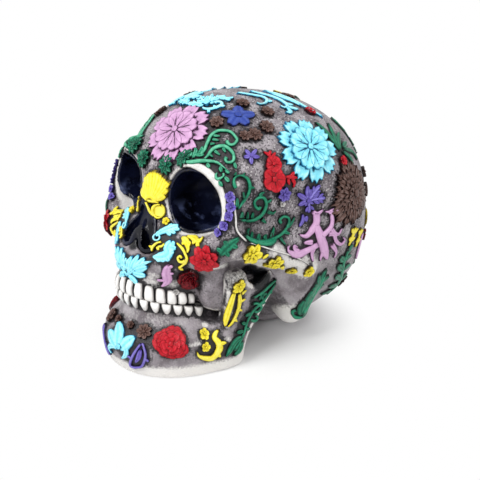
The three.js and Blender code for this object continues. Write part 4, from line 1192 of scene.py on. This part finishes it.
NOSE_LEAVES = (leaves(5.4, [(-2.5, -7.5), (-1, -5), (2.5, -2), (6, 0.5), (9.5, 2.5)],
                      shape=(0.4, 0.8, 1, 1.1, 0.5))
               + leaves(3.2, [(4, -1), (9.5, -3)], [(5, 0), (11, 0)], [(3, -2), (7, -5)], [(3, -1), (5, 3)])
               + vines(1.5, loop(-1.5, -8, 2, 2), shape=EVEN))
CHEEK_LEAVES = (leaves(6.8, [(-3.5, 7), (-5.5, 3), (-4, 0), (-6, -2.5), (-10, -4), (-13, -4.5)],
                       shape=(0.5, 0.8, 1, 1, 0.8, 0.1))
                + leaves(4, [(-4.5, 5), (-1, 5.5)], [(-5, 3), (0.5, 3.5)], [(-4, 0.5), (-0.5, 1.5)],
                         [(-5, -2), (-3, -5)], [(-7, -3), (-6, -6)], [(-9, -3.5), (-9, -6.5)]))
PINK_LEAF = (leaves(6.2, [(-3, -6), (-4.5, -13), (-4.5, -20.5), (-8, -25)])
             + leaves(2.6, [(-4, -9.5), (-0.5, -7)], [(-4, -14), (-0.5, -13)], [(-5.5, -19.5), (-10, -19)]))
HOLLY = (leaves(6, [(-4, -5.5), (0.5, 2), (6, 8)])
         + leaves(3.4, [(-2, -2), (-6, -1)], [(-1, -1), (2, -4)], [(1, 2), (-3, 4)], [(1.5, 3), (5.5, 1.5)]))
TEMPLE_LINE = [(-29, 16), (-26, 8.5), (-23, 1.5), (-20, -5), (-12, -10.5)]
CHEEK_LINE = [(-29, 14), (-18.5, 12.5), (2.5, 8.5), (16.5, 4.5), (27, 0)]
PURPLE_TIPS = [(-4.5, 2.5), (2.5, 4), (5, -0.5), (0.5, -6), (-5, -2.5)]
PURPLE_CHAIN = (moved(flower(3.6, 4), (3.5, 12.5), (5, 7))
                + moved(flower(3.2, 4, start=45), (4.8, 1.5), (2.5, -4.5)) + moved(flower(2.6, 4), (-1, -9)))

print("sheets beside the nose:", len(NOSE_SPRAY) + len(NOSE_LEAVES))

# %% Where the small ornament goes
SMALL = {
    "florets_brown": ("brown", bone, [(TOP_SPOT, TOP_FLORETS),
                                      *((spot, flower(*form)) for spot, form in BROWN_FLORETS.items())]),
    "rosettes_green": ("green", bone, [((9, 34), flower(6, 9, lobes=1)), ((20, 37), flower(6, 9, lobes=1))]),
    "sprigs_red": ("red", bone, [
        ((121, 55), flower(4)), ((110, 30), flower(3.4)), ((163, 34), flower(4.4)),
        ((138, -12), flower(4.4))]),
    "florets_purple": ("purple", bone, [((54, 41), star((-0.5, -1), 3, *PURPLE_TIPS)),
                                        ((40, 15), PURPLE_CHAIN)]),
    "sprays_yellow": ("yellow", bone, [((114, -6), YELLOW_LEAF), ((122, -9), YELLOW_LEAF),
                                       (CHEEK_SPOT, CHEEK_SPRAY), (NOSE_SPOT, NOSE_SPRAY)]),
    "leaves_turquoise": ("turquoise", bone, [(NOSE_SPOT, NOSE_LEAVES), (CHEEK_SPOT, CHEEK_LEAVES)]),
    "leaf_pink": ("pink", bone, [(CHEEK_SPOT, PINK_LEAF),
                                 (REAR_SPOT, vines(5, [(13.5, 6), (15, -6.5), (22, -17)], shape=LEAF))]),
    "holly_green": ("green", bone, [((42, 3), HOLLY)]),
    "chalk_lines": ("chalk", bone, [(TEMPLE_SPOT, vines(1.1, TEMPLE_LINE, shape=EVEN, high=1.0)),
                                    (ARCH_SPOT, vines(1.1, CHEEK_LINE, shape=EVEN, high=1.0))]),
    "florets_white": ("chalk", bone, [((23.8, -66.4, 52.1), flower(2.2))]),
    "scrolls_back": ("green", bone, [((146, 32), moved(TEMPLE, (18, -13))), ((150, -24), moved(ARCH, (0, 2))),
                                     ((172, 52), leaf_pair(16)), ((168, -8), leaf_pair(12))]),
    "scrolls_ramus": ("green", jaw_bone, [((50, -28, 40), RAMUS)]),
    "florets_jaw": ("brown", jaw_bone, [((16, -84.5, 29), flower(5.2, 7)), ((6, -87, 31), flower(2.8, 6))]),
    "oval_purple": ("purple", jaw_bone, [((8, -94, 20), PURPLE_OVAL)]),
}
RED_SPRIGS = leaves(2.6, [(-1.5, 8), (-3, 12), (-7.5, 14)], [(-1.5, 10), (1, 15)], [(-3, 11.5), (-2.5, 15.5)],
                    [(7.5, 1), (13, 2), (17.5, 2.5)], [(11.5, 2), (15, 5.5)],
                    [(12, 1.5), (15.5, -0.5), (15.5, -3.5)], [(10, 1), (12.5, -2.5)])
PURPLE_SPRIG = leaves(3.2, [(-15.5, 20), (-14, 15), (-16, 9.5)], [(-12, 19), (-11.5, 14)])
BY_NODE = {
    "sprigs_temple": ("red", "flower_red_temple", RED_SPRIGS),
    "flower_purple": ("purple", "lily_purple_side", moved(flower(4.8, 6, lobes=1), (-18, 0.5))),
    "floret_white": ("chalk", "lily_purple_side", moved(flower(2, 5), (-17.5, -5))),
    "sprig_purple": ("purple", "scroll_pink_side", PURPLE_SPRIG),
}
ORBIT = vines(4.8, [(-13, 16), (-7, 18), (-1, 17.5), (4, 16), (8.5, 13), (12.5, 9), (15.5, 3.5), (17, -2),
                    (17.5, -8), (15.5, -14)], shape=(0.2, 0.7, 1, 1.1, 1, 0.8, 0.5, 0.4, 0.3), high=0.8)
press("chalk_orbit_left", "chalk", bone, [(EYE_SPOT, ORBIT)])
for end, side in SIDES:
    for name, (colour, field, parts) in SMALL.items():
        press(name + end, colour, field, parts, side)
    for name, (colour, node, sheets) in BY_NODE.items():
        press(name + end, colour, bone, [(node + end, sheets)], side)
print("with small ornament:", len(PIECES), "pieces")

# %% [markdown]
# ## Teeth
# Each tooth is one closed shell on the bone that carries it. The crowns stand along a squared arch
# and grow lower towards the back; the upper ones are rounded at the gum, and the lower ones taper.

# %% Teeth
TOOTH_WIDTH = 6.3
ROW = 45
UPPER_CROWN = (9.6, 7.0)
LOWER_CROWN = (8.6, 6.2)
TOOTH_BULGE = 3.3
TOOTH_ROOT = 0.5


def arch_place(along):
    """The point of the tooth arch at a length from its middle, from a finely divided arch."""
    angle = np.linspace(-np.pi / 2, np.pi / 2, 4001)
    across, ahead = np.sin(angle), np.maximum(np.cos(angle), 0)
    x = PALATE["half"] * np.sign(across) * np.abs(across) ** (2 / SQUARENESS)
    y = PALATE["rear"] - (PALATE["rear"] - PALATE["front"]) * ahead ** (2 / SQUARENESS)
    run = np.concatenate([[0], np.cumsum(np.hypot(np.diff(x), np.diff(y)))])
    run -= run[-1] / 2
    beyond = np.maximum(np.abs(along) - run[-1], 0)
    return np.interp(along, run, x), np.interp(along, run, y) + beyond


def tooth(relief, middle, field, crown, upward):
    """s runs from the bite to the gum and t across; the crown bulges and is rounded at the gum."""
    tall = crown[0] + (crown[1] - crown[0]) * abs(middle) / ROW
    # The back teeth are made greyer: painted shade.
    rear_shade_factor = 1 - 0.3 * ease(34, 40, abs(middle))
    s = (spaced(9, 0.08)[:, None] + 1) / 2
    t = spaced(9, 0.08)[None, :]
    narrow = 0.04 if upward > 0 else 0.32
    wide = 0.485 * TOOTH_WIDTH * (1 - narrow * s ** 2)
    top = tall * (1 - 0.2 * t ** 4) if upward > 0 else tall * (1 - 0.3 * t ** 2)
    rise = 0.15 + top * s - upward * 0.55 * (1 - t ** 2) * (1 - s)
    x, y = arch_place(middle + wide * t)
    z = bite_level(y) + upward * rise
    base = np.stack([a.ravel() for a in np.broadcast_arrays(x, y, z)])
    base = settle(field, base, passes=5, level=True)
    out = slope(field, base)
    out[2] = 0
    out /= length(out)
    swell = 0.72 + 0.34 * np.sin(np.pi * np.minimum(s + 0.1, 1)) - 0.25 * s ** 3
    bulge = TOOTH_BULGE * (1 - 0.45 * np.abs(t) ** 3) * swell
    edge = np.ones(bulge.shape, bool)
    edge[1:-1, 1:-1] = False
    # Tone: dark joints round the border; painted shade on one side, towards the edges and the gum, and, by
    # the factor above, on the back teeth.
    tone = np.where(edge, 0, rear_shade_factor * (0.9 - 0.9 * np.abs(t) ** 5 - 0.25 * (t + 0.4) ** 2 - 0.3 * s ** 5))
    depth = np.where(edge, -TOOTH_ROOT, bulge)
    grid = (base + out * depth.ravel()).reshape(3, *depth.shape)
    relief.shell(grid, tone, upward)


TEETH = {"upper_teeth": (face, UPPER_CROWN, 1, 14), "lower_teeth": (jaw_body, LOWER_CROWN, -1, 15)}
for name, (field, crown, upward, count) in TEETH.items():
    relief = Relief()
    for number in range(count):
        tooth(relief, (number + 0.5 - count / 2) * TOOTH_WIDTH, field, crown, upward)
    add_piece("ivory_" + name, relief.mesh(name, crease=70), FINISH["ivory"], [name])
print("teeth done")

# %% [markdown]
# ## The castings
# The cranium and the jaw are cast in one grey stuff and then painted as a whole: thin black round
# the ornament, dry white on everything that sticks out. The dark round the ornament also carries
# painted shade, and a few spots add painted shade in the hollow behind the molars and under the
# cheek arch. Where each goes is worked out here, so that the material only has to mix it: the wash
# and painted shade from a blurred map of the ornament and those spots, and the white from how
# sharply the bone bends.

# %% Maps of wash and white
MAP_CELL = 1.5
MAP_LOW = at(-90, -115, -15)
MAP_SHAPE = (120, 150, 125)


def ornament_map(pieces, passes):
    """Marks the small cubes that hold the pieces, then spreads them by passes of three-cube means."""
    grid = np.zeros(MAP_SHAPE)
    for piece in pieces:
        rows = np.empty(len(piece.data.vertices) * 3)
        piece.data.vertices.foreach_get("co", rows)
        points = rows.reshape(-1, 3).T / MM - at(0, MIDDLE_SHIFT, 0)
        cube = ((points - MAP_LOW) / MAP_CELL).astype(int)
        grid[tuple(cube)] = 1
    for _ in range(passes):
        for axis in range(3):
            grid = (np.roll(grid, 1, axis) + grid + np.roll(grid, -1, axis)) / 3
    return grid


def read_map(grid, p):
    """The value of the cube that each point lies in."""
    return grid[tuple(((p - MAP_LOW) / MAP_CELL).astype(int))]


def bending(field, p, step=2.0):
    """How sharply the surface bends outwards: the mean of six probes less the middle."""
    mean = probed(field, p, step).reshape(6, -1).mean(0)
    return (mean - field(p)) * 6 / step ** 2


def spot_weight(p, spots, radius):
    """One inside a few round spots, nought outside, on both sides of the skull."""
    near = [length(mirrored(p) - at(*spot)) for spot in spots]
    return 1 - ease(0.7 * radius, radius, np.minimum.reduce(near))


print("map of the ornament:", MAP_SHAPE, "cubes of", MAP_CELL, "mm")

# %% Cranium and jaw
CRANIUM_GRID = dict(high=(82, 108, 168), low_y=-92, cell=1.25)
JAW_GRID = dict(high=(62, 0, 72), low_y=-104, cell=1.0)
KNOB_SPOT = at(53, 9, 20)
ARCH_LINE = [at(50, -46, 82), at(60, -24, 74), at(66, 4, 60)]
ARCH_EDGE = [at(45, -54, 69.5), at(47, -28, 66), at(54, -14, 61.5), at(62, -6, 58), at(68, 7, 56)]
JAW_EDGES = ([at(52, -11, 50), at(49.5, -19, 36), at(48, -26, 22), at(48.5, -36, 7)],
             [at(47, -48, 58), at(44, -49.5, 48), at(40, -50, 40), at(36, -54, 30)])
NOTCH_SPOTS = [(45, -25, 60), (48, -19, 56.5), (50, -24, 53), (51, -19, 54)]
# Spots of painted shade: under the cheek arch behind the branch of the jaw, and in the hollow behind the
# molars.
UNDER_ARCH_SHADE_SPOTS = [(41, -7, 34), (46, -5, 30), (37, 3, 20)]
RECESS_SHADE_SPOTS = [(42, -51, 60), (40, -52, 50), (36, -48, 38), (52, -44, 63)]
NOSE_SPOTS = [(0, -70, 85), (0, -76, 80.5), (0, -75, 77)]
near_map, wide_map = ornament_map(PIECES.values(), 2), ornament_map(PIECES.values(), 9)
teeth_map = ornament_map([PIECES["ivory_upper_teeth"], PIECES["ivory_lower_teeth"]], 2)


def brushed(p, line, reach=1.8):
    """One along a line of the bone, where a dry brush has touched it, on both sides of the skull."""
    return np.exp(-(rod(mirrored(p), line, [0] * len(line)) / reach) ** 2)


def root_spots(upward):
    """Where the roots of some teeth swell the bone: above the upper ones and below the lower ones."""
    x, y = arch_place(np.array([3, 17, 23, 33]))
    z = bite_level(y) + upward * (UPPER_CROWN[0] + 3)
    return list(zip(x, y, z))


def marks_of(points, field, white, upward):
    """Black paint with painted shade close to the ornament and where it is dense, and painted shade in the
    hollow behind the molars and under the cheek arch; white on sharp bends, roots and where given, but not
    beside the ornament and the teeth, and less in that hollow; gloss black in the notch and the nose."""
    thin, rooted, sharp = (0.2, 0.36, 0.12) if upward > 0 else (-0.1, 0.22, 0.075)
    # Painted shade in the hollow behind the molars, and under the cheek arch behind the branch of the jaw.
    recess_shade = spot_weight(points, RECESS_SHADE_SPOTS, 11)
    below = spot_weight(points, UNDER_ARCH_SHADE_SPOTS, 14)
    gums = ease(0.1, 0.4, read_map(teeth_map, points))
    beside = read_map(near_map, points)
    # Thin black paint with painted shade beside the ornament and where it is dense, dark joints at the gums,
    # and the painted shade above.
    wash_and_shade = gums + 2.2 * beside + read_map(wide_map, points) - (thin - 0.8 * below) + 0.62 * recess_shade
    white = white + rooted * spot_weight(points, root_spots(upward), 6.5)
    pale = np.clip(0.55 * ease(sharp, 2.5 * sharp, bending(field, points)) + white, 0, 1)
    pale = pale * (1 - 0.4 * recess_shade) * (1 - gums) * (1 - 0.85 * ease(0.2, 0.5, beside))
    smooth = 1 - ease(50, 76, points[2] + 0.3 * points[1])
    ink = np.maximum(spot_weight(points, NOTCH_SPOTS, 6), spot_weight(points, NOSE_SPOTS, 5.5))
    return {"wash_and_shade": np.clip(wash_and_shade, 0, 1.3), "pale": pale * (1 - ink), "ink": ink, "smooth": smooth}


points, quads = skin(cranium, **CRANIUM_GRID)
rim = np.exp(-(np.maximum(socket(points), 0) / 1.8) ** 2)
on_arch = 0.5 * (1 - ease(4, 13, rod(mirrored(points), ARCH_LINE, [0, 0, 0])))
knob = 1 - ease(8, 20, length(mirrored(points) - KNOB_SPOT))
marks = marks_of(points, bone, 0.7 * rim + on_arch + 0.9 * knob + brushed(points, ARCH_EDGE), 1)
mesh = mesh_of("cranium", points, [quads], marks)
add_piece("cast_cranium", mesh, FINISH["casting"], ["cranium"])
print("cranium", len(quads), "quads; wash", np.percentile(marks["wash_and_shade"], [10, 50, 90]).round(2))

points, quads = skin(jaw, **JAW_GRID)
edges = sum(brushed(points, line) for line in JAW_EDGES)
foot = 1 - ease(2, 12, points[2])
mesh = mesh_of("lower_jaw", points, [quads], marks_of(points, jaw_bone, foot + edges, -1))
add_piece("cast_lower_jaw", mesh, FINISH["casting"], ["lower_jaw"])
print("lower jaw", len(quads), "quads")

# %% [markdown]
# ## Linings of the hollows
# The eye sockets and the nose are lacquered in glossy black. Each lining is a thin shell just inside
# its hollow, cut off flush with the bone, and is drawn round its field as the castings are.

# %% Linings
LINING_GAP, LINING_DEPTH, LINING_INSET = 0.45, 2.25, 0.15
SOCKET_GRID = dict(high=(56, -14, 132), low_y=-86, cell=0.8)
NOSE_GRID = dict(high=(22, -50, 112), low_y=-94, cell=0.6)


def lining(hollow):
    """The field of a shell just inside the hollow, between two depths, where that lies within the bone."""
    def field(p):
        shell = np.maximum(hollow(p) + LINING_GAP, -LINING_DEPTH - hollow(p))
        return np.maximum(shell, bone(p) + LINING_INSET)
    return field


def one_side(points, quads, side):
    """Keeps the shell on one side of the middle plane."""
    kept = points[0] * side > 0
    number = np.cumsum(kept) - 1
    return points[:, kept], number[quads[kept[quads[:, 0]]]]


def line_with(name, points, quads):
    """Adds one lining in gloss black."""
    mesh = mesh_of(name, points, [quads], {}, crease=60)
    add_piece("gloss_" + name, mesh, FINISH["ink"], [name])


points, quads = skin(lining(socket), **SOCKET_GRID)
line_with("socket_lining_left", *one_side(points, quads, 1))
line_with("socket_lining_right", *one_side(points, quads, -1))
line_with("nose_lining", *skin(lining(nose), **NOSE_GRID))
print("linings done")

# %% [markdown]
# ## Stage, light and camera
# The photograph was made on white paper under a broad soft light from the upper left. The floor is
# white to the eye and keeps the shadow. A large key lamp, a large fill lamp, a small lamp for
# highlights and the white room give a plain level of light, at which colours look as written.

# %% Floor and room
WHITE = (1, 1, 1, 1)
PAPER = (0.93, 0.93, 0.93, 1)
FLOOR_HALF = 3
ROOM_LIGHT = 0.36
SHADOW_GLOW = 0.02
SHADOW_REACH = (0.045, 0.1)


def sees_background(start):
    """One for rays from the camera, a mirror or glass."""
    seen = [start.node("LightPath", {}, {}, output=name)
            for name in ("Is Camera Ray", "Is Glossy Ray", "Is Transmission Ray")]
    return start.math("MINIMUM", seen[0] + seen[1] + seen[2], 1.0)


def white_far_away(start):
    """Almost nought on the floor below the skull and one away from it, for rays that see the
    background."""
    distance = start.node("VectorMath", {"operation": "LENGTH"}, {0: place_of(start)}, output="Value")
    away = SHADOW_GLOW + distance.ramp(*SHADOW_REACH) * (1 - SHADOW_GLOW)
    return away * sees_background(start)


floor_material = bpy.data.materials.new("white_paper")
start = cleared(floor_material)
paper = start.node("BsdfDiffuse", {}, {"Color": PAPER})
glow = start.node("Emission", {}, {"Color": WHITE, "Strength": 1.0})
mixed = start.node("MixShader", {}, {0: white_far_away(start), 1: paper, 2: glow})
start.node("OutputMaterial", {}, {"Surface": mixed})

floor_mesh = bpy.data.meshes.new("floor")
floor_corners = [(x * FLOOR_HALF, y * FLOOR_HALF, 0) for x, y in ((-1, -1), (1, -1), (1, 1), (-1, 1))]
floor_mesh.from_pydata(floor_corners, [], [(0, 1, 2, 3)])
floor_mesh.materials.append(floor_material)
floor = bpy.data.objects.new("floor", floor_mesh)
bpy.context.scene.collection.objects.link(floor)

world = bpy.data.worlds.new("white_room")
bpy.context.scene.world = world
start = cleared(world)
light = ROOM_LIGHT + sees_background(start) * (1 - ROOM_LIGHT)
background = start.node("Background", {}, {"Color": WHITE, "Strength": light})
start.node("OutputWorld", {}, {"Surface": background})

print("floor:", 2 * FLOOR_HALF, "m wide")

# %% Lamps and camera
TARGET = Vector((6.7, 5.1 + MIDDLE_SHIFT, 61.5)) * MM
LAMP_DISTANCE = 0.9
CAMERA_SIDE = (45, 20)
CAMERA_DISTANCE = 0.5


def aimed(name, data, azimuth, elevation, distance):
    """A lamp or a camera at a distance from the target, looking at it. Azimuth 0 is before the face."""
    way = Vector(way_to(azimuth, elevation))
    made = bpy.data.objects.new(name, data)
    made.location = TARGET + way * distance
    made.rotation_euler = way.to_track_quat("Z", "Y").to_euler()
    bpy.context.scene.collection.objects.link(made)
    return made


def lamp(name, azimuth, elevation, size, watts):
    """A square lamp, its side in metres."""
    data = bpy.data.lights.new(name, "AREA")
    data.size, data.energy = size, watts
    aimed(name, data, azimuth, elevation, LAMP_DISTANCE)


lamp("key", 0, 50, 0.5, 6.0)
lamp("fill", 110, 40, 0.8, 2.9)
lamp("spark", 40, 30, 0.1, 0.6)

camera_data = bpy.data.cameras.new("camera")
camera_data.lens, camera_data.sensor_width = 56.25, 36
bpy.context.scene.camera = aimed("camera", camera_data, *CAMERA_SIDE, CAMERA_DISTANCE)
bpy.context.scene.view_settings.view_transform = "Standard"
print("camera at", [round(c, 3) for c in bpy.context.scene.camera.location])

# %% Size, and the end
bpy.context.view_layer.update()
triangles = sum(len(piece.data.loop_triangles) for piece in PIECES.values())
print("pieces:", len(PIECES), "triangles:", triangles)
